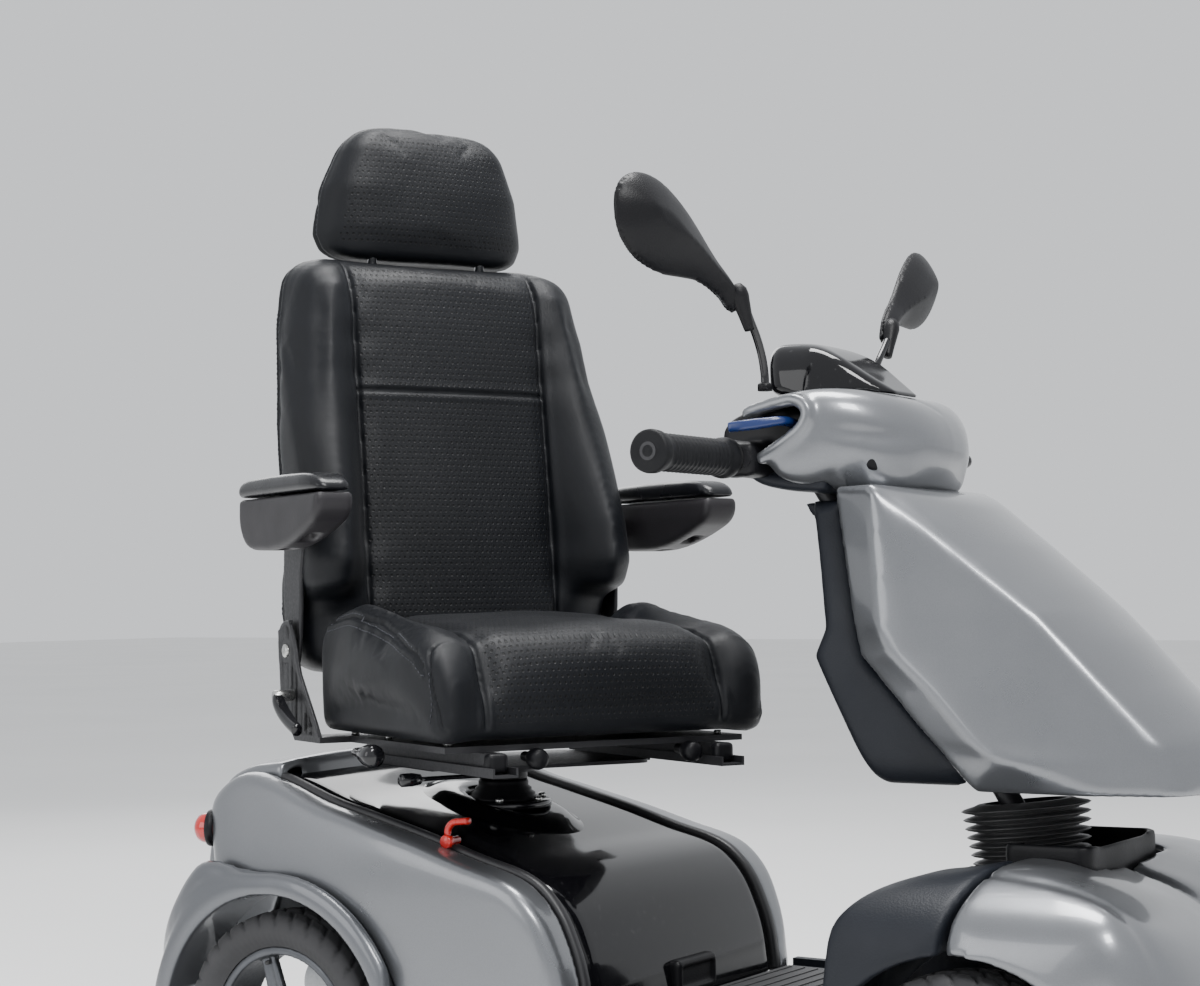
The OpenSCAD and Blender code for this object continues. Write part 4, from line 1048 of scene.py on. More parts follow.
def f_rim(s):
    def fn(X, Y, Z):
        r = np.sqrt(Y ** 2 + Z ** 2)
        a = np.arctan2(Z, Y) + 0 * X
        o = s * X
        hoop = smax(abs(r - 0.1125) - 0.0050, abs(X) - 0.0345, 0.003)
        lipr = smax(abs(r - 0.1130) - 0.0055, abs(abs(X) - 0.0325) - 0.003, 0.003)
        d = smin(hoop, lipr, 0.003)
        dish = 0.026 - 0.012 * np.clip(r / 0.11, 0, 1) ** 1.5 * 0 - 0.010 * np.clip((0.06 - r) / 0.06, 0, 1)
        k = np.mod(a / (2 * math.pi / 5) + 0.5, 1) - 0.5
        w = abs(k) * (2 * math.pi / 5) * r
        half = 0.0155 - 0.004 * np.clip((r - 0.04) / 0.07, 0, 1)
        sp = smax(w - half, abs(o - dish + 0.006) - 0.0065, 0.004)
        # each spoke is split by a channel
        ch = smax(w - 0.0042, dish - 0.0025 - o, 0.002)
        sp = smax(sp, -np.maximum(ch, 0.048 - r), 0.003)
        sp = smax(sp, r - 0.1135, 0.001)
        d = smin(d, sp, 0.006)
        hub = smax(r - 0.044, abs(o - 0.013) - 0.0095, 0.005)
        cap = smax(r - 0.025, abs(o - 0.008) - 0.022, 0.006)
        d = smin(smin(d, hub, 0.006), cap, 0.004)
        b = smax(r - 0.024, abs(o + 0.012) - 0.020, 0.003)
        d = smin(d, b, 0.004)
        for q in range(5):
            t = 2 * math.pi * (q + 0.5) / 5
            rr = np.sqrt((Y - 0.034 * math.cos(t)) ** 2 + (Z - 0.034 * math.sin(t)) ** 2)
            d = smin(d, smax(rr - 0.0060, abs(o - 0.024) - 0.006, 0.002), 0.001)
        return smax(d, 0.0121 - r, 0.001)
    return fn


for fr_, y_ in (("rear", 0.495), ("front", -0.48)):
    for s_, nm in ((-1, "right"), (1, "left")):
        body = "wheel_%s_%s" % (fr_, nm)
        t_ = revolve("tread_%s_%s" % (fr_, nm), tprof, (s_ * 0.272, y_, 0.165), (1, 0, 0), 340, tread)
        put(t_, body, m_tyre, "tyre_%s_%s" % (fr_, nm))
        if fr_ == "rear":
            if s_ < 0:
                R0 = {}
            R0[s_] = sdf("spokes_rear_" + nm, f_rim(s_), (-0.04, -0.12, -0.12), (0.04, 0.12, 0.12), 0.0030, 2)
            q_ = R0[s_]
        else:
            q_ = bpy.data.objects.new("spokes_front_" + nm, R0[s_].data.copy())
            bpy.context.scene.collection.objects.link(q_)
        if fr_ == "rear":
            base_ = q_.data.copy()
            R0[s_] = bpy.data.objects.new("tmp", base_)
        q_.data.transform(Matrix.Translation((s_ * 0.272, y_, 0.165)))
        put(q_, body, m_rim, "rim_%s_%s" % (fr_, nm))
        v_ = sweep("valve_%s_%s" % (fr_, nm), [(s_ * (0.272 + d), y_ + 0.030, 0.165 + 0.094) for d in (0.010, 0.018, 0.024, 0.030)], ring(0.003, 10), (0, 0, 1))
        put(v_, body, m_boot)
for k_ in R0:
    bpy.data.objects.remove(R0[k_])

# ------------------------------------------------------------------ tiller

TZ = [0.500, 0.514, 0.524, 0.548, 0.580, 0.623, 0.687, 0.746, 0.802, 0.850, 0.869, 0.881]
TF = [-0.690, -0.699, -0.7035, -0.7055, -0.690, -0.652, -0.594, -0.533, -0.471, -0.412, -0.386, -0.345]
TBZ = [0.500, 0.552, 0.571, 0.632, 0.673, 0.702, 0.867, 0.900]
TB = [-0.490, -0.482, -0.452, -0.397, -0.350, -0.334, -0.321, -0.318]
TRZ = [0.500, 0.511, 0.544, 0.584, 0.642, 0.671, 0.725, 0.871, 0.900]
TR = [-0.450, -0.438, -0.407, -0.369, -0.318, -0.292, -0.280, -0.2535, -0.249]


# crease from the top corner down to the lower front: height, across, along
TCZ = [0.50, 0.571, 0.643, 0.721, 0.798, 0.875]
TCX = [0.130, 0.134, 0.142, 0.149, 0.156, 0.162]
TCY = [-0.668, -0.648, -0.581, -0.509, -0.413, -0.322]


def shield_front(ax, Z):
    yf, yb = np.interp(Z, TZ, TF), np.interp(Z, TBZ, TB)
    yf = yf + np.interp(Z, [0.57, 0.64, 0.75, 0.83, 0.88], [0.0, 0.010, 0.014, 0.018, 0.020])
    hw = 0.190 - 0.014 * np.clip((Z - 0.70) / 0.17, 0, 1)
    ac = np.interp(Z, TCZ, TCX)
    yc = np.interp(Z, TCZ, TCY)
    front = yf + (yc - yf) * np.clip(ax / ac, 0, 1.6) ** 2
    side = yc + (yb - yc) * np.clip((ax - ac) / (hw - ac), -2.5, 1.6)
    return front, side, yb, hw


def f_shield_skin(X, Y, Z, o=0.0):
    """Front skin: a wide nose that falls back to a ridge at each side, then turns in to the rear edge."""
    ax = abs(X)
    yb, hw = shield_front(ax, Z)[2:]
    h = 0.004
    ds = []
    for k in (0, 1):
        gx = (shield_front(ax + h, Z)[k] - shield_front(np.maximum(ax - h, 0), Z)[k]) / (2 * h)
        gz = (shield_front(ax, Z + h)[k] - shield_front(ax, Z - h)[k]) / (2 * h)
        ds.append((shield_front(ax, Z)[k] - Y) / np.sqrt(1 + gx ** 2 + gz ** 2))
    d = smax(ds[0], ds[1], 0.009)
    yr = np.interp(Z, TRZ, TR)
    back = np.clip((Y - yb) / np.maximum(yr - yb, 0.02), 0, 1.2)
    w = hw - 0.030 * back
    d = smax(d, (ax - w) * 0.96, 0.007)
    d = smax(d, (ax - 0.190 + (0.557 - Z) * 0.72) / 1.2, 0.006)
    # lower front edge turns under in the same way
    d = smax(d, (-(Y + 0.7045) + (0.557 - Z) * 0.55 - 0.03) / 1.15, 0.010)
    return smax(d, Z - 0.8755, 0.006) + o


def f_shield(X, Y, Z):
    d = f_shield_skin(X, Y, Z)
    d = np.maximum(d, -(d + 0.0095))
    d = smax(d, 0.5135 - Z, 0.003)
    d = smax(d, Y - np.interp(Z, TRZ, TR), 0.003)
    lamp = np.sqrt(X ** 2 + (Z - 0.556) ** 2) - 0.0305
    return smax(d, -np.maximum(lamp, Y + 0.62), 0.002)


sh = sdf("tiller_front_shell", f_shield, (-0.196, -0.712, 0.505), (0.196, -0.245, 0.882), 0.0045, 4)
recolor(sh, f_shield_skin, -0.0055, m_blackp)
put(sh, "tiller", m_silver, "tiller_shield")
sh.data.materials.append(m_blackp)

LG = curve([(-0.205, 0.862), (-0.217, 0.790), (-0.229, 0.703), (-0.214, 0.669), (-0.248, 0.598), (-0.284, 0.526), (-0.302, 0.5125), (-0.408, 0.5125), (-0.404, 0.542), (-0.366, 0.582), (-0.314, 0.640), (-0.288, 0.670), (-0.276, 0.726), (-0.250, 0.862)], 6, True, (0, 2, 3, 6, 7, 13))
LX = curve([(0.104, 0.505), (0.128, 0.545), (0.137, 0.62), (0.136, 0.70), (0.124, 0.79), (0.112, 0.87)], 6, False)
LX = np.vstack([LX, [(0.0, 0.87), (0.0, 0.505)]])


def f_leg_skin(X, Y, Z):
    ax = abs(X)
    d = smax(poly(LG, Y + 0.010 * np.clip(ax / 0.13, 0, 1) ** 2 - 0.010, Z), poly(LX, ax, Z), 0.018)
    t = (0.45 + Z * 0 + (Z - 0.45)) - 0.45
    stem = abs(X) - 0.032
    spine = np.maximum(stem, np.maximum(-(Y + 0.250 + (0.8 - Z) * 0.15), Y - (-0.228 + (Z - 0.740) * 0.631)))
    spine = np.maximum(spine, np.maximum(0.745 - Z, Z - 0.862))
    return smin(d, spine, 0.010)


def f_leg(X, Y, Z):
    d = f_leg_skin(X, Y, Z)
    d2 = np.maximum(d, -(d + 0.007))
    # open in front, where the outer shell covers it, and below
    yr = np.interp(Z, [0.50, 0.54, 0.58, 0.64, 0.67, 0.726, 0.862], [-0.41, -0.402, -0.362, -0.308, -0.283, -0.270, -0.246])
    d2 = smax(d2, -(Y - yr) * 0 - 1 + 0 * Z, 0) if False else d2
    inner = np.maximum(np.maximum(ax_(X) - 0.098, Y + 0.30), 0 * Z - 1)
    d2 = np.maximum(d2, -np.maximum(np.maximum(abs(X) - 0.10, yr - 0.03 - Y), Y - yr - 0.012))
    d2 = np.maximum(d2, -np.maximum(np.maximum(abs(X) - 0.092, 0.500 - Z), np.maximum(Z - 0.53, Y + 0.300)))
    return d2


def ax_(X):
    return abs(X)


lg = sdf("tiller_rear_shell", f_leg, (-0.142, -0.415, 0.505), (0.142, -0.145, 0.868), 0.0045, 3)
put(lg, "tiller", m_dark, "leg_shield")

# head: a broad rounded body with a hollow at each side for the fingers
TH = curve([(-0.139, 0.955), (-0.139, 0.974), (-0.156, 0.9860), (-0.205, 0.9965), (-0.255, 0.9975), (-0.302, 0.9870), (-0.342, 0.9625), (-0.3605, 0.934), (-0.354, 0.906), (-0.322, 0.886), (-0.290, 0.8790), (-0.250, 0.877), (-0.215, 0.8765), (-0.182, 0.886), (-0.162, 0.904), (-0.146, 0.924)], 6, True, (0, 1, 14, 15))
TP = curve([(0.171, -0.09), (0.1725, -0.17), (0.1690, -0.214), (0.1530, -0.262), (0.1245, -0.302), (0.0865, -0.332), (0.044, -0.350), (0.0, -0.3555)], 6, False)
TP = np.vstack([TP, [(-0.02, -0.3555), (-0.02, -0.09)]])
U_ = curve([(-0.08, 0.953), (-0.145, 0.9625), (-0.190, 0.9720), (-0.2110, 0.9740), (-0.2205, 0.9665), (-0.2150, 0.9530), (-0.192, 0.9370), (-0.162, 0.9200), (-0.08, 0.8900)], 6, True, (0, 8))


def f_head_out(X, Y, Z):
    ax = abs(X)
    # the flank pulls in below, towards the shield
    low = np.clip((0.935 - Z) / 0.06, 0, 1) ** 1.5 * np.clip((-0.19 - Y) / 0.06, 0, 1)
    b = poly(TP, ax + 0.022 * low, Y)
    a = poly(TH, Y, Z)
    d = smax(a, b, 0.042)
    # short neck that stands on the shield
    d = smin(d, rbox(ax + 0.5 * np.clip(-0.285 - Y, 0, 1), Y, Z, (0.0, -0.280, 0.900), (0.118, 0.040, 0.030), 0.022), 0.024)
    # swage line along the flank
    d = d + 0.0035 * np.exp(-((Z - 0.942 - (Y + 0.25) * 0.10) / 0.010) ** 2) * np.clip((-0.245 - Y) / 0.03, 0, 1) * np.clip((ax - 0.06) / 0.05, 0, 1)
    # rolled lip around the hand opening
    u = poly(U_, Y, Z)
    lip = smax(abs(u - 0.0070) - 0.0085, abs(ax - 0.1665) - 0.0070, 0.005)
    lip = smax(lip, a + 0.001, 0.004)
    return smin(d, lip, 0.006)


def f_head_shell(X, Y, Z):
    o = f_head_out(X, Y, Z)
    d = np.maximum(o, -(o + 0.0085 + 0.008 * np.clip((0.925 - Z) / 0.02, 0, 1)))
    u = poly(U_, Y, Z)
    d = smax(d, -u, 0.003)
    foot = np.sqrt((abs(X) - 0.146) ** 2 + (Y + 0.160) ** 2) - 0.0066
    d = np.maximum(d, -np.maximum(foot, 0.97 - Z))
    # room for the stem below
    st_ = np.sqrt(X ** 2 + (Y + 0.165) ** 2) - 0.045
    return np.maximum(d, -np.maximum(st_, Z - 0.90))


hs = sdf("tiller_head_shell", f_head_shell, (-0.178, -0.368, 0.866), (0.178, -0.085, 1.004), 0.0036, 3)
recolor(hs, lambda X, Y, Z: np.maximum(f_head_out(X, Y, Z), -poly(U_, Y, Z) * 0 - 1), -0.0052, m_blackp)
put(hs, "tiller", m_silver, "tiller_head")
hs.data.materials.append(m_blackp)


HB = curve([(-0.300, 0.968), (-0.200, 0.979), (-0.130, 0.977), (-0.100, 0.968), (-0.0855, 0.952), (-0.087, 0.930), (-0.104, 0.908), (-0.150, 0.893), (-0.300, 0.893)], 6, True, (0, 8))


def f_cluster(X, Y, Z):
    """Switch box inside the head, seen through the hand openings, and the collar where each grip starts."""
    ax = abs(X)
    d = smax(poly(HB, Y, Z), ax - 0.128, 0.014)
    d = smin(d, rbox(ax, Y, Z, (0.15, -0.142, 0.912), (0.035, 0.020, 0.022), 0.010), 0.012)
    d = smin(d, smax(np.sqrt((Y + 0.128) ** 2 + (Z - 0.913) ** 2) - 0.0235, abs(ax - 0.176) - 0.011, 0.005), 0.004)
    return d


cl = sdf("switch_box", f_cluster, (-0.19, -0.305, 0.885), (0.19, -0.080, 0.985), 0.0035, 2)
put(cl, "tiller", m_blackp)


def f_under(X, Y, Z):
    """Lower cover below the bars, dark, sweeping down to the shield."""
    prof_ = curve([(-0.120, 0.900), (-0.140, 0.884), (-0.172, 0.875), (-0.205, 0.871), (-0.236, 0.872), (-0.236, 0.888), (-0.120, 0.905)], 6, True, (5, 6))
    d = smax(poly(prof_, Y, Z), abs(X) - 0.140, 0.016)
    return d


un = sdf("head_under_cover", f_under, (-0.155, -0.305, 0.858), (0.155, -0.115, 0.91), 0.0035, 2)
put(un, "tiller", m_dark)

DP = curve([(-0.150, 0.992), (-0.122, 1.004), (-0.118, 1.020), (-0.1195, 1.052), (-0.128, 1.067), (-0.150, 1.069), (-0.182, 1.0635), (-0.218, 1.045), (-0.252, 1.020), (-0.286, 0.996), (-0.270, 0.988)], 6, True, (0, 9, 10))
DF = np.vstack([curve([(0.086, 0.98), (0.085, 1.005), (0.080, 1.035), (0.067, 1.057), (0.042, 1.070), (0.0, 1.074)], 6, False), [(-0.02, 1.074), (-0.02, 0.98)]])


def f_dash(X, Y, Z):
    ax = abs(X)
    a = poly(DP, Y + 0.020 * np.clip((ax - 0.045) / 0.04, 0, 1.5) ** 2 * np.clip((Y + 0.24) / 0.08, 0, 1), Z)
    b = poly(DF, ax + 0.045 * np.clip((-0.18 - Y) / 0.10, 0, 1) ** 1.5, Z)
    d = smax(a, b, 0.012)
    # instrument face set into the hood
    face = rbox(X, Y, Z, (-0.016, -0.117, 1.032), (0.044, 0.007, 0.020), 0.005)
    d = smax(d, -face, 0.002)
    dial = smax(np.sqrt((X - 0.04) ** 2 + (Z - 1.014) ** 2) - 0.0155, -0.140 - Y, 0.001)
    d = smax(d, -dial, 0.0015)
    base = poly(TH, Y, Z)
    return smax(d, -(base - 0.0010), 0.001)


da = sdf("dash_hood", f_dash, (-0.104, -0.33, 0.985), (0.104, -0.105, 1.078), 0.0032, 2)
put(da, "tiller", m_hood, "dash")
pl_ = gridmesh("dash_panel", np.array([[(-0.059 + 0.086 * i / 12, -0.1225 - 0.0012 * math.sin(math.pi * i / 12) * math.sin(math.pi * j / 8), 1.0135 + 0.037 * j / 8) for j in range(9)] for i in range(13)]))
if pl_.data.polygons[0].normal.y < 0:
    pl_.data.flip_normals()
put(pl_, "tiller", m_blackg)
for k in range(4):
    b_ = revolve("dash_button_%d" % k, [(0.0001, 0.0035), (0.0035, 0.0033), (0.0048, 0.002), (0.0048, -0.003), (0.0001, -0.003)], (-0.050 + 0.017 * k, -0.1215, 1.022), (0, 1, 0), 24)
    put(b_, "tiller", m_blackp)
dl = revolve("speed_knob", [(0.0001, 0.0082), (0.006, 0.0082), (0.0105, 0.0072), (0.0118, 0.005), (0.0135, 0.0), (0.0138, -0.006), (0.0001, -0.024)], (0.04, -0.113, 1.014), (0, 1, 0), 60, lambda t, r, h: -0.0006 if (int(t * 60 / (2 * math.pi) + 0.5) % 5 == 0 and r > 0.009) else 0)
put(dl, "speed_dial", m_blackp, "speed_dial")

# blue thumb levers: thin blades that curve out of the hand openings
def blade(s_):
    pts = curve([(0.020, -0.176, 0.944), (0.080, -0.186, 0.947), (0.140, -0.198, 0.954), (0.166, -0.196, 0.9570), (0.182, -0.178, 0.9545), (0.192, -0.158, 0.9520), (0.1985, -0.1370, 0.9500)], 6, False)
    pts[:, 0] *= s_
    n = len(pts)
    def sec(t):
        w = 0.015 - 0.004 * max(0, t - 0.85) * 6
        return rrect(w, 0.0095 + 0.0035 * min(1, max(0, t - 0.4) * 3), 0.0042, 3)
    o = sweep("thumb_blade_" + ("right" if s_ < 0 else "left"), pts, sec, (0, 0.2, 1))
    ss = o.modifiers.new("sub", "SUBSURF"); ss.levels = ss.render_levels = 1
    return o


bl = blade(-1)
put(bl, "throttle", m_blue, "throttle_lever")
put(blade(1), "throttle", m_blue)
hbk = revolve("thumb_hub", [(0.0042, -0.009), (0.017, -0.009), (0.0185, -0.007), (0.0185, 0.003), (0.017, 0.0055), (0.0042, 0.0055)], (0, -0.176, 0.944), (0, 0.536, 0.844), 48)
put(hbk, "throttle", m_blue)

# grips with ribs and flared ends
def grip_piece(s_, nm):
    pr = [(0.0001, 0.3722), (0.007, 0.3722), (0.0076, 0.3708), (0.0225, 0.3714), (0.0255, 0.3698), (0.0262, 0.3655), (0.0258, 0.3575), (0.0240, 0.3530), (0.0226, 0.3495)]
    x = 0.3445
    while x > 0.214:
        pr += [(0.0222, x), (0.0222, x - 0.0046), (0.0230, x - 0.0056), (0.0231, x - 0.0070), (0.0223, x - 0.0080)]
        x -= 0.0094
    pr += [(0.0224, 0.207), (0.0250, 0.203), (0.0256, 0.197), (0.0250, 0.1905), (0.0001, 0.1905)]
    o = revolve("grip_sleeve_" + nm, [(r, s_ * x_) for r, x_ in pr], (0, -0.128, 0.913), (1, 0, 0), 64,
                lambda t, r, h: -0.0006 if (0.0226 < r < 0.0233 and int(t * 32 / (2 * math.pi)) % 4 == 0) else 0)
    return o


for s_, nm in ((-1, "right"), (1, "left")):
    put(grip_piece(s_, nm), "tiller", m_grip, "grip_" + nm)

# mirrors
MO = np.array([(-0.0105, 1.094), (-0.0015, 1.116), (0.012, 1.133), (0.044, 1.157), (0.088, 1.199), (0.122, 1.224), (0.152, 1.2375), (0.186, 1.2405), (0.213, 1.229), (0.226, 1.208), (0.226, 1.183), (0.217, 1.159), (0.196, 1.1385), (0.170, 1.127), (0.140, 1.121), (0.105, 1.1205), (0.074, 1.1185), (0.040, 1.106), (0.018, 1.089), (0.006, 1.086)])
MO = curve(MO, 4, True, (0, 18, 19))


def f_mirror(X, Y, Z):
    """In the head's own frame: X across from the neck, Y depth (front is -), Z up."""
    e = poly(MO, X, Z)
    # back swells to the front, with one long facet along the upper edge
    deep = 0.034 * np.clip(-e / 0.048, 0, 1) ** 0.62
    facet = 0.026 + (-(Z - 1.150 - (X - 0.06) * 0.72)) * 0.55
    deep = smin(deep, np.maximum(facet, 0.002), 0.004)
    neck = np.clip((0.05 - X) / 0.06, 0, 1)
    deep = deep * (1 - neck) + neck * np.minimum(0.022, np.maximum(-e, 0) * 1.2)
    d = smax((-(Y) - deep - 0.0) * 0.75, Y - 0.0, 0.004)
    d = smax(d, e, 0.0045)
    ins = poly(MO, X, Z) + 0.0065
    return smax(d, -np.maximum(ins, -0.0045 - Y), 0.0015)


mr = sdf("mirror_shell_left", f_mirror, (-0.018, -0.040, 1.078), (0.235, 0.006, 1.248), 0.0028, 2)
neck = revolve("mirror_neck_left", [(0.0001, -0.028), (0.0062, -0.028), (0.0068, -0.024), (0.0082, -0.010), (0.0100, 0.004), (0.0116, 0.016), (0.0108, 0.024), (0.006, 0.031), (0.0001, 0.032)], (0.0, -0.0145, 1.094), (0.42, 0.0, 0.88), 40)
MP = Matrix.Translation((0.202, -0.149, 0)) @ Matrix.Rotation(math.radians(8.2), 4, "Z")
for o in (mr, neck):
    o.data.transform(MP)
stalk = sweep("mirror_stalk_left", curve([(0.146, -0.160, 1.0005), (0.1465, -0.160, 1.018), (0.155, -0.1612, 1.040), (0.170, -0.1625, 1.062), (0.186, -0.1632, 1.080), (0.196, -0.1635, 1.092)], 6, False), ring(0.0052, 16), (0, 1, 0))
nut = revolve("mirror_nut_left", [(0.0001, 0.0115), (0.0062, 0.0115), (0.0088, 0.0095), (0.0095, 0.0078), (0.0095, 0.0008), (0.0001, 0.0008)], (0.146, -0.160, 0.9965), (0, 0, 1), 6)
gl = obj_from("mirror_face_left", [(0, 0, 0)], [])
bpy.data.objects.remove(gl)
gcen = np.array([0.11, 1.166])


def glass(name):
    rows = []
    for k in (0.02, 0.35, 0.7, 0.93, 1.0):
        q = gcen + (MO - gcen) * 0.90 * k
        rows.append([(a, -0.0047 + 0.0008 * (1 - k * k), b) for a, b in q])
    o = gridmesh(name, np.array(rows), closed_v=True)
    if sum(p.normal.y for p in o.data.polygons) < 0:
        o.data.flip_normals()
    o.data.transform(MP)
    return o


gl = glass("mirror_face_left")
put(mr, "mirror_left", m_blackp, "mirror_left")
put(neck, "mirror_left", m_blackp)
put(stalk, "mirror_left", m_blackg)
put(nut, "mirror_left", m_blackp)
put(gl, "mirror_left", m_mirror, "mirror_glass_left")
put(mirrored(mr, "mirror_shell_right"), "mirror_right", m_blackp, "mirror_right")
put(mirrored(neck, "mirror_neck_right"), "mirror_right", m_blackp)
put(mirrored(stalk, "mirror_stalk_right"), "mirror_right", m_blackg)
put(mirrored(nut, "mirror_nut_right"), "mirror_right", m_blackp)
put(mirrored(gl, "mirror_face_right"), "mirror_right", m_mirror, "mirror_glass_right")

# brake lever with a ball end
bp_ = curve([(0.160, -0.178, 0.918), (0.180, -0.176, 0.919), (0.215, -0.178, 0.9215), (0.260, -0.188, 0.9245), (0.310, -0.200, 0.928), (0.350, -0.2055, 0.931)], 6, False)
bk_ = sweep("brake_blade", bp_, lambda t: rrect(0.018 - 0.008 * t, 0.0072, 0.0034, 3), (0, 0, 1))
ball = revolve("brake_ball", [(0.0104 * math.sin(math.pi * i / 14) + 0.0001, -0.0104 * math.cos(math.pi * i / 14)) for i in range(15)], (0.352, -0.206, 0.931), (1, -0.15, 0), 32)
put(bk_, "brake", m_blackg, "brake_lever")
put(ball, "brake", m_blackg)
pv = revolve("brake_pivot", [(0.0001, 0.0062), (0.008, 0.0062), (0.0105, 0.0045), (0.0105, -0.0045), (0.008, -0.0062), (0.0001, -0.0062)], (0.168, -0.176, 0.918), (0, 0, 1), 32)
put(pv, "brake", m_bolt)

# bellows on the column, and the frame's steering axis
BAX = Vector((0, math.sin(math.radians(6)), math.cos(math.radians(6))))
BHC = Vector((0, -0.438, 0.4465))
bpf = [(0.050, -0.034), (0.066, -0.034)]
for i in range(7):
    h0, R_ = -0.031 + i * 0.0106, 0.0715 + 0.0012 * i
    bpf += [(R_ - 0.016, h0), (R_ - 0.003, h0 + 0.0032), (R_, h0 + 0.0050), (R_ - 0.003, h0 + 0.0068), (R_ - 0.016, h0 + 0.0100)]
bpf += [(0.058, 0.0445), (0.050, 0.0445), (0.050, -0.034)]
bo = revolve("bellows", bpf, BHC, BAX, 96)
put(bo, "column", m_boot, "boot")

# ------------------------------------------------------------------ front body

CP = curve([(-0.455, 0.340), (-0.459, 0.371), (-0.470, 0.405), (-0.482, 0.4385), (-0.515, 0.4400), (-0.560, 0.433), (-0.640, 0.406), (-0.697, 0.364), (-0.737, 0.310), (-0.7505, 0.256), (-0.745, 0.200), (-0.60, 0.19), (-0.455, 0.20)], 6, True, (0, 3, 10, 11, 12))
CPL = np.vstack([curve([(0.328, -0.44), (0.3285, -0.52), (0.325, -0.60), (0.302, -0.672), (0.250, -0.716), (0.180, -0.738), (0.100, -0.7495), (0.0, -0.7515)], 6, False), [(-0.02, -0.7515), (-0.02, -0.44)]])
CF = np.vstack([curve([(0.328, 0.15), (0.328, 0.30), (0.3215, 0.352), (0.302, 0.392), (0.262, 0.421), (0.205, 0.439), (0.13, 0.4455), (0.0, 0.4465)], 6, False), [(-0.02, 0.4465), (-0.02, 0.15)]])


def f_cowl_out(X, Y, Z):
    ax = abs(X)
    # a raised crest over each wheel, and a lower bonnet between them
    dip = 0.012 * np.exp(-(ax / 0.11) ** 2) * np.clip((-0.50 - Y) / 0.08, 0, 1) * np.clip((Z - 0.28) / 0.08, 0, 1)
    a = poly(CP, Y, Z) + dip
    d = smax(a, poly(CPL, ax, Y), 0.055)
    d = smax(d, poly(CF, ax, Z), 0.012)
    # swage that runs from the rear edge down to the nose
    return d + 0.0030 * np.exp(-((ax - 0.232 + (Y + 0.48) * 0.18) / 0.008) ** 2) * np.clip((Z - 0.33) / 0.03, 0, 1)


def f_cowl(X, Y, Z):
    o = f_cowl_out(X, Y, Z)
    ax = abs(X)
    d = np.maximum(o, -(o + 0.008))
    r = np.sqrt((Y + 0.48) ** 2 + (Z - 0.165) ** 2)
    d = smax(d, -np.maximum(r - 0.184, 0.14 - ax), 0.005)
    # flange that turns in round the wheel arch
    arch = np.maximum(np.maximum(abs(r - 0.1885) - 0.0045, abs(ax - 0.3095) - 0.011), o)
    d = np.minimum(d, arch)
    d = smax(d, -np.maximum(np.maximum(ax - 0.122, Z * 0 - 1), np.maximum(-0.562 - Y, 0.385 - Z)), 0.004)
    cut = np.interp(Z, [0.18, 0.341, 0.371, 0.410, 0.443, 0.46], [-0.4555, -0.4555, -0.4595, -0.4725, -0.4845, -0.488])
    d = smax(d, Y - cut, 0.003)
    return np.maximum(d, 0.2055 - Z)


cw = sdf("front_shell", f_cowl, (-0.334, -0.757, 0.20), (0.334, -0.445, 0.455), 0.0048, 3)
recolor(cw, f_cowl_out, -0.0062, m_blackp)
recolor(cw, f_cowl_out, -0.0045, m_blackp)
put(cw, "chassis", m_silver, "front_cowl")
cw.data.materials.append(m_blackp)


def f_toe(X, Y, Z):
    """Upright board that closes the foot space towards the front axle."""
    d = abs(Y + 0.318 + 0.12 * np.clip(Z - 0.30, 0, 1)) - 0.0032
    d = smax(d, abs(X) - 0.1335, 0.003)
    for x_ in (-0.075, 0.0, 0.075):
        d = smin(d, smax(abs(Y + 0.316 + 0.12 * np.clip(Z - 0.30, 0, 1)) - 0.0045, abs(X - x_) - 0.005, 0.002), 0.004)
    return smax(smax(d, Z - 0.398, 0.004), 0.226 - Z, 0.004)


to = sdf("toe_board", f_toe, (-0.138, -0.340, 0.220), (0.138, -0.306, 0.403), 0.0036, 1)
put(to, "chassis", m_dark)
cw.data.materials.append(m_blackp)


def f_btray(X, Y, Z):
    """Black well round the bellows, let into the top of the cowl, with a raised rim."""
    ax = abs(X)
    rr = rbox(X, Y, Z, (0, -0.505, 0.40), (0.118, 0.054, 0.062), 0.016)
    hole = rbox(X, Y, Z, (0, -0.505, 0.44), (0.110, 0.046, 0.080), 0.012)
    d = smax(rr, -hole, 0.003)
    top = 0.448 + (-(Y + 0.47)) * 0.02
    d = smax(d, Z - top - 0.006 * np.clip((ax - 0.07) / 0.05, 0, 1), 0.004)
    stem = np.sqrt((X) ** 2 + ((Y + 0.44) * 0.844 - (Z - 0.45) * 0.536) ** 2) - 0.034
    return np.maximum(d, -stem)


bt = sdf("column_well", f_btray, (-0.125, -0.565, 0.335), (0.125, -0.445, 0.462), 0.004, 2)
put(bt, "chassis", m_blackp)

FP = curve([(-0.283, 0.2405), (-0.298, 0.270), (-0.309, 0.303), (-0.314, 0.333), (-0.324, 0.372), (-0.349, 0.402), (-0.388, 0.4205), (-0.440, 0.4295), (-0.4835, 0.4405), (-0.471, 0.409), (-0.458, 0.371), (-0.454, 0.341), (-0.454, 0.2405)], 6, True, (0, 8, 11, 12))
FPL = np.vstack([curve([(0.292, -0.2825), (0.312, -0.305), (0.323, -0.340), (0.3265, -0.390), (0.3265, -0.50)], 6, False), [(0.1356, -0.50), (0.1356, -0.2825)]])
FF = np.vstack([curve([(0.3265, 0.15), (0.3265, 0.30), (0.320, 0.352), (0.301, 0.390), (0.261, 0.419), (0.205, 0.437), (0.1356, 0.443)], 6, False), [(0.1356, 0.15)]])


def f_ff_out(X, Y, Z):
    ax = abs(X)
    return smax(smax(poly(FP, Y, Z), poly(FPL, ax, Y), 0.022), poly(FF, ax, Z), 0.012)


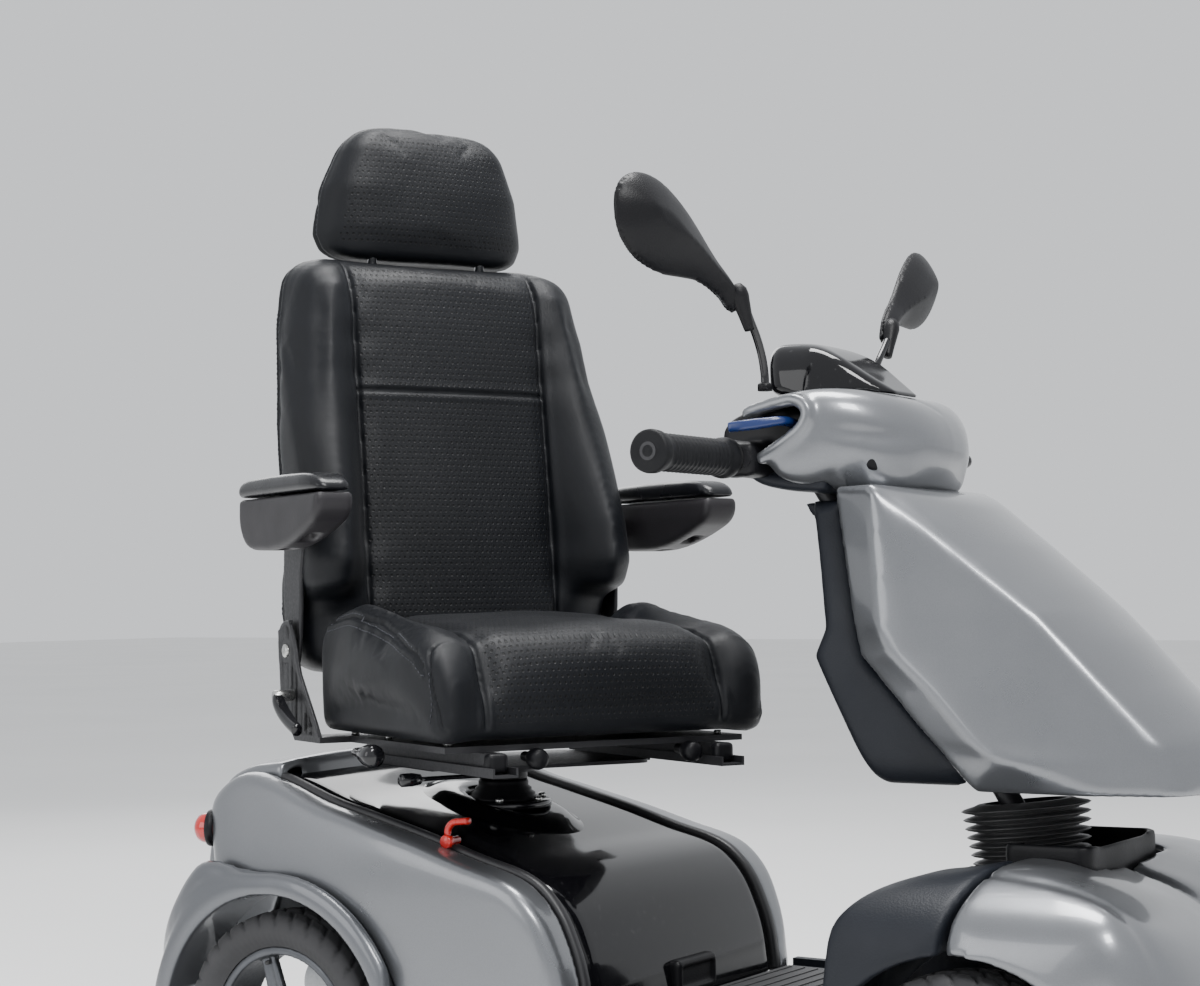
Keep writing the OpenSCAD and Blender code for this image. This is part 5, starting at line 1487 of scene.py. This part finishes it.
def f_ff(X, Y, Z):
    o = f_ff_out(X, Y, Z)
    ax = abs(X)
    d = np.maximum(o, -(o + 0.0075))
    r = np.sqrt((Y + 0.48) ** 2 + (Z - 0.165) ** 2)
    d = smax(d, -np.maximum(r - 0.1845, 0.14 - ax), 0.005)
    arch = np.maximum(np.maximum(abs(r - 0.189) - 0.0045, abs(ax - 0.308) - 0.011), o)
    d = np.minimum(d, arch)
    wall = np.maximum(np.maximum(abs(ax - 0.1385) - 0.003, o), 0.1845 - r)
    return np.minimum(d, wall)


ff = sdf("front_arch_right", f_ff, (-0.332, -0.492, 0.235), (-0.130, -0.275, 0.448), 0.0042, 3)
put(ff, "chassis", m_dark, "front_fender_right")
put(mirrored(ff, "front_arch_left"), "chassis", m_dark, "front_fender_left")

# head lamp: clear dome and bright bowl
hl = revolve("lamp_dome", [(0.0001, 0.0285), (0.008, 0.0278), (0.016, 0.0252), (0.023, 0.0212), (0.0280, 0.0165), (0.0294, 0.0130), (0.0294, 0.004), (0.0280, 0.004), (0.0001, 0.0265)], (0, -0.676, 0.556), (0, -1, 0), 64)
put(hl, "tiller", m_clear, "headlamp")
bw_ = revolve("lamp_bowl", [(0.0275, 0.0115), (0.024, 0.004), (0.018, -0.006), (0.010, -0.012), (0.005, -0.0135), (0.0001, -0.0135)], (0, -0.676, 0.556), (0, -1, 0), 48, lambda t, r, h: 0.0006 * math.cos(t * 16) if r > 0.008 else 0)
put(bw_, "tiller", m_chrome)

# ------------------------------------------------------------------ arm rests

AP = curve([(0.168, 0.8868), (0.172, 0.898), (0.160, 0.909), (0.120, 0.913), (-0.030, 0.9135), (-0.076, 0.911), (-0.100, 0.903), (-0.109, 0.893), (-0.107, 0.8868)], 6, True, (0, 8))
AS = curve([(0.171, 0.8855), (-0.108, 0.8855), (-0.1095, 0.872), (-0.104, 0.858), (-0.088, 0.846), (-0.020, 0.824), (0.040, 0.8135), (0.100, 0.8125), (0.146, 0.817), (0.168, 0.838)], 6, True, (0, 1))


def arm(s_, nm):
    def pad(X, Y, Z):
        ax = abs(X)
        d = smax(poly(AP, Y, Z), abs(ax - 0.303) - 0.030 + 0.006 * np.clip((-0.05 - Y) / 0.06, 0, 1) ** 2, 0.013)
        return smax(d, 0.8870 - Z, 0.002)

    def shell(X, Y, Z):
        ax = abs(X)
        w = 0.0278 - 0.004 * np.clip((0.86 - Z) / 0.05, 0, 1)
        d = smax(poly(AS, Y, Z), abs(ax - 0.303) - w, 0.009)
        d = smax(d, Z - 0.8858, 0.0015)
        # recesses on the underside and round mark where the screws go
        for yy in (-0.03, 0.055):
            d = smax(d, -rbox(ax, Y, Z, (0.303, yy, 0.812 + (0.012 if yy < 0 else 0.0)), (0.009, 0.020, 0.010), 0.004), 0.002)
        boss = smax(np.sqrt((Y - 0.135) ** 2 + (Z - 0.848) ** 2) - 0.0158, abs(ax - 0.269) - 0.0072, 0.002)
        return smin(d, boss, 0.003)
    a = sdf("arm_pad_" + nm, pad, (s_ * 0.303 - 0.033, -0.112, 0.882), (s_ * 0.303 + 0.033, 0.176, 0.917), 0.0032, 2)
    b = sdf("arm_shell_" + nm, shell, (s_ * 0.30 - 0.042, -0.113, 0.808), (s_ * 0.30 + 0.042, 0.175, 0.890), 0.0032, 2)
    put(to_seat(a), "armrest_" + nm, m_pad, "armrest_" + nm)
    put(to_seat(b), "armrest_" + nm, m_armb)
    # bracket plate on the back rest, with its pivot screw
    pl = curve([(0.125, 0.657), (0.155, 0.657), (0.172, 0.700), (0.172, 0.845), (0.152, 0.868), (0.120, 0.868), (0.100, 0.850), (0.112, 0.780)], 5, True)
    c = sdf("arm_bracket_" + nm, lambda X, Y, Z: smax(smax(poly(pl, Y, Z), abs(abs(X) - 0.2568) - 0.0035, 0.0015), 0.0098 - np.sqrt((Y - 0.135) ** 2 + (Z - 0.848) ** 2), 0.001), (s_ * 0.257 - 0.006, 0.09, 0.65), (s_ * 0.257 + 0.006, 0.18, 0.875), 0.0028, 1)
    put(to_seat(c), "back", m_frame)
    h = revolve("hinge_cap_" + nm, [(0.0001, 0.0024), (0.006, 0.0024), (0.0090, 0.0008), (0.0096, -0.002), (0.0096, -0.020), (0.0001, -0.020)], (s_ * 0.2728, 0.140, 0.672), (s_, 0, 0), 32)
    put(to_seat(h), "back", m_bolt)


m_armb = plastic("arm_underside", (0.017, 0.0155, 0.018), 0.46, 420, 0.3, **{"Specular IOR Level": 0.4})
arm(-1, "right")
arm(1, "left")

# recliner plates below the cover, and the recline handle on the rider's right
for s_, nm in ((-1, "right"), (1, "left")):
    q = curve([(0.022, 0.549), (0.108, 0.549), (0.150, 0.592), (0.168, 0.650), (0.170, 0.698), (0.150, 0.714), (0.128, 0.712), (0.108, 0.680), (0.092, 0.640), (0.040, 0.577)], 5, True, (0, 1, 9))
    c = sdf("recline_plate_" + nm, lambda X, Y, Z: smax(smax(poly(q, Y, Z), abs(abs(X) - 0.268) - 0.0030, 0.0012), 0.0106 - np.sqrt((Y - 0.140) ** 2 + (Z - 0.672) ** 2), 0.001), (s_ * 0.268 - 0.005, 0.015, 0.545), (s_ * 0.268 + 0.005, 0.178, 0.72), 0.0028, 1)
    put(to_seat(c), "seat", m_frame)

lv = curve([(-0.290, 0.112, 0.614), (-0.297, 0.105, 0.606), (-0.298, 0.086, 0.590), (-0.298, 0.062, 0.577), (-0.298, 0.034, 0.566)], 6, False)
lo = sweep("recline_handle", lv, lambda t: rrect(0.011 + 0.005 * t, 0.013 + 0.006 * math.sin(math.pi * t), 0.0052, 4), (1, 0, 0))
put(to_seat(lo), "recline_lever", m_blackg, "recline_lever")
ls_ = revolve("recline_shaft", [(0.0001, 0.302), (0.007, 0.302), (0.0082, 0.300), (0.0082, 0.274), (0.0001, 0.274)], (0, 0.110, 0.610), (-1, 0, 0), 32)
put(to_seat(ls_), "recline_lever", m_bolt)

# slide lever: bar with a big round knob that faces forward
sb_ = sweep("slide_bar", curve([(-0.236, -0.062, 0.541), (-0.255, -0.066, 0.541), (-0.2615, -0.085, 0.5405), (-0.262, -0.118, 0.540)], 6, False), ring(0.0055, 14), (0, 0, 1))
put(to_seat(sb_), "slide_lever", m_blackg, "slide_lever")
kn = revolve("slide_knob", [(0.0001, 0.045), (0.009, 0.0445), (0.0138, 0.041), (0.0152, 0.035), (0.0148, 0.022), (0.0115, 0.008), (0.0085, 0.0), (0.0001, -0.001)], (-0.262, -0.100, 0.540), (0, -1, -0.02), 40)
put(to_seat(kn), "slide_lever", m_blackg)

# swivel lever below the seat, with its knob
wv = sweep("swivel_bar", curve([(-0.094, -0.150, 0.508), (-0.130, -0.150, 0.508), (-0.175, -0.152, 0.508), (-0.205, -0.156, 0.508)], 6, False), lambda t: rrect(0.0052, 0.013, 0.0024, 3), (0, 1, 0))
put(to_seat(wv), "swivel_lever", m_blackg, "swivel_lever")
kw = revolve("swivel_knob", [(0.0001, 0.030), (0.0065, 0.0296), (0.0088, 0.027), (0.0088, 0.012), (0.0068, 0.0), (0.0001, -0.001)], (-0.205, -0.1555, 0.508), (-1, -0.08, 0), 32)
put(to_seat(kw), "swivel_lever", m_blackg)

# small round knobs under the front of the seat plate
for s_, x_ in (("right", -0.100), ("left", 0.134)):
    kf = revolve("front_knob_" + s_, [(0.0001, 0.034), (0.0085, 0.0335), (0.0125, 0.0305), (0.0138, 0.026), (0.0136, 0.017), (0.0105, 0.008), (0.0070, 0.004), (0.0065, -0.012), (0.0001, -0.012)], (x_, -0.262, 0.5385), (0, -1, -0.05), 40)
    put(to_seat(kf), "seat", m_blackp)

# end caps on the front of the seat rails
for s_, nm in ((-1, "right"), (1, "left")):
    cp_ = sdf("rail_cap_" + nm, lambda X, Y, Z: rbox(X, Y, Z, (s_ * 0.170, -0.3035, 0.5360), (0.0145, 0.009, 0.0125), 0.0055), (s_ * 0.170 - 0.016, -0.315, 0.520), (s_ * 0.170 + 0.016, -0.292, 0.552), 0.0024, 1)
    put(to_seat(cp_), "seat", m_blackp)
    for k, yy in enumerate((-0.24, -0.06, 0.05)):
        bb = revolve("rail_bolt_%s_%d" % (nm, k), [(0.0001, 0.0045), (0.0042, 0.0045), (0.0056, 0.003), (0.0056, -0.001), (0.0001, -0.001)], (s_ * 0.205, yy, 0.5562), (0, 0, 1), 6)
        put(to_seat(bb), "seat", m_bolt)

# the post shows a stepped cuff, a flange and six bolts
cf = revolve("post_cuff", [(0.0290, 0.4600), (0.0520, 0.4600), (0.0528, 0.4630), (0.0450, 0.4662), (0.0452, 0.4696), (0.0398, 0.4730), (0.0400, 0.4764), (0.0352, 0.4800), (0.0355, 0.4850), (0.0335, 0.4890), (0.0290, 0.4895)], (0, 0.35, 0), (0, 0, 1), 64)
put(cf, "chassis", m_blackp)
fl_ = revolve("post_flange", [(0.0290, 0.4500), (0.0660, 0.4500), (0.0680, 0.4515), (0.0680, 0.4585), (0.0660, 0.4602), (0.0290, 0.4602)], (0, 0.35, 0.0), (0, 0, 1), 72)
put(fl_, "chassis", m_blackg)
for k in range(6):
    t = math.radians(30 + 60 * k)
    b = revolve("flange_bolt_%d" % k, [(0.0001, 0.0062), (0.0040, 0.0062), (0.0056, 0.0050), (0.0062, 0.0035), (0.0062, 0.0), (0.0001, 0.0)], (0.0598 * math.cos(t), 0.35 + 0.0598 * math.sin(t), 0.4602), (0, 0, 1), 6)
    put(b, "chassis", m_bolt)

# red freewheel lever: a paddle on a short shaft
fw = sweep("freewheel_paddle", curve([(-0.2558, 0.255, 0.432), (-0.2558, 0.254, 0.446), (-0.2558, 0.246, 0.4545), (-0.2558, 0.232, 0.4570), (-0.2558, 0.2215, 0.4580)], 6, False), lambda t: rrect(0.0085 + 0.004 * t, 0.0085, 0.0036, 3), (0, 0, 1))
put(fw, "freewheel_lever", m_red, "freewheel_lever")
fs_ = revolve("freewheel_shaft", [(0.0001, 0.012), (0.0075, 0.012), (0.0088, 0.010), (0.0088, 0.002), (0.0058, 0.001), (0.0058, -0.016), (0.0001, -0.016)], (-0.2505, 0.255, 0.430), (-1, 0, 0), 32)
put(fs_, "freewheel_lever", m_red)

# screw heads that hold the floor
def screw(name, p, n, r=0.0052):
    o = revolve(name, [(0.0013, 0.0012), (0.0018, 0.0026), (r * 0.7, 0.0028), (r, 0.0012), (r, -0.001), (0.0001, -0.001)], p, n, 20)
    return o


k = 0
for s_ in (-1, 1):
    for y_ in (-0.22, -0.02):
        put(screw("floor_screw_%d" % k, (s_ * 0.250, y_ + 0.05, 0.2125), (0, 0, 1)), "chassis", m_bolt)
        k += 1


# ------------------------------------------------------------------ stage, light and camera

def stage():
    me = bpy.data.meshes.new("floor")
    s = 30
    me.from_pydata([(-s, -s, 0), (s, -s, 0), (s, s, 0), (-s, s, 0)], [], [(0, 1, 2, 3)])
    o = bpy.data.objects.new("floor", me)
    bpy.context.scene.collection.objects.link(o)
    M = Mat("studio_floor", (0.955, 0.955, 0.95), 0.6)
    M.base(M.mix(M.remap(M.noise(0.7, 3), 0.3, 0.7, 0, 1), (0.78, 0.78, 0.775), (0.82, 0.82, 0.815)))
    me.materials.append(M.m)


stage()


def area(name, loc, target, size, power, color=(1, 1, 1), size_y=None):
    l = bpy.data.lights.new(name, "AREA")
    l.energy, l.size, l.color = power, size, color
    if size_y:
        l.shape, l.size_y = "RECTANGLE", size_y
    o = bpy.data.objects.new(name, l)
    bpy.context.scene.collection.objects.link(o)
    o.location = loc
    o.rotation_mode = "QUATERNION"
    o.rotation_quaternion = (Vector(target) - Vector(loc)).to_track_quat("-Z", "Y")


area("key", (-2.1, -2.5, 3.8), (0, 0, 0.5), 1.2, 125)
area("over", (0.3, 0.0, 4.4), (0, 0, 0.4), 2.0, 215, size_y=1.6)
area("fill", (-4.2, 1.8, 2.0), (0, 0, 0.7), 2.6, 45)
area("back", (2.6, 3.2, 3.0), (0, 0, 0.8), 2.4, 55)
w = bpy.data.worlds.new("studio")
bpy.context.scene.world = w
w.use_nodes = True
w.node_tree.nodes["Background"].inputs["Color"].default_value = (0.93, 0.95, 0.98, 1)
w.node_tree.nodes["Background"].inputs["Strength"].default_value = 0.95


def camera():
    yaw, pit, rol = math.radians(33.2224), math.radians(-2.6914), math.radians(0.5498)
    f = Vector((math.cos(yaw) * math.cos(pit), math.sin(yaw) * math.cos(pit), -math.sin(pit)))
    r = Vector((math.sin(yaw), -math.cos(yaw), 0))
    d = f.cross(r)
    r2 = r * math.cos(rol) + d * math.sin(rol)
    d2 = -r * math.sin(rol) + d * math.cos(rol)
    cam = bpy.data.cameras.new("camera")
    cam.sensor_width, cam.lens = 36, 66
    cam.clip_start, cam.clip_end = 0.05, 100
    o = bpy.data.objects.new("camera", cam)
    bpy.context.scene.collection.objects.link(o)
    m = Matrix.Identity(4)
    for i, v in enumerate((r2, -d2, -f)):
        for k in range(3):
            m[k][i] = v[k]
    m[0][3], m[1][3], m[2][3] = -2.5383, -1.4803, 0.7444
    o.matrix_world = m
    bpy.context.scene.camera = o


camera()
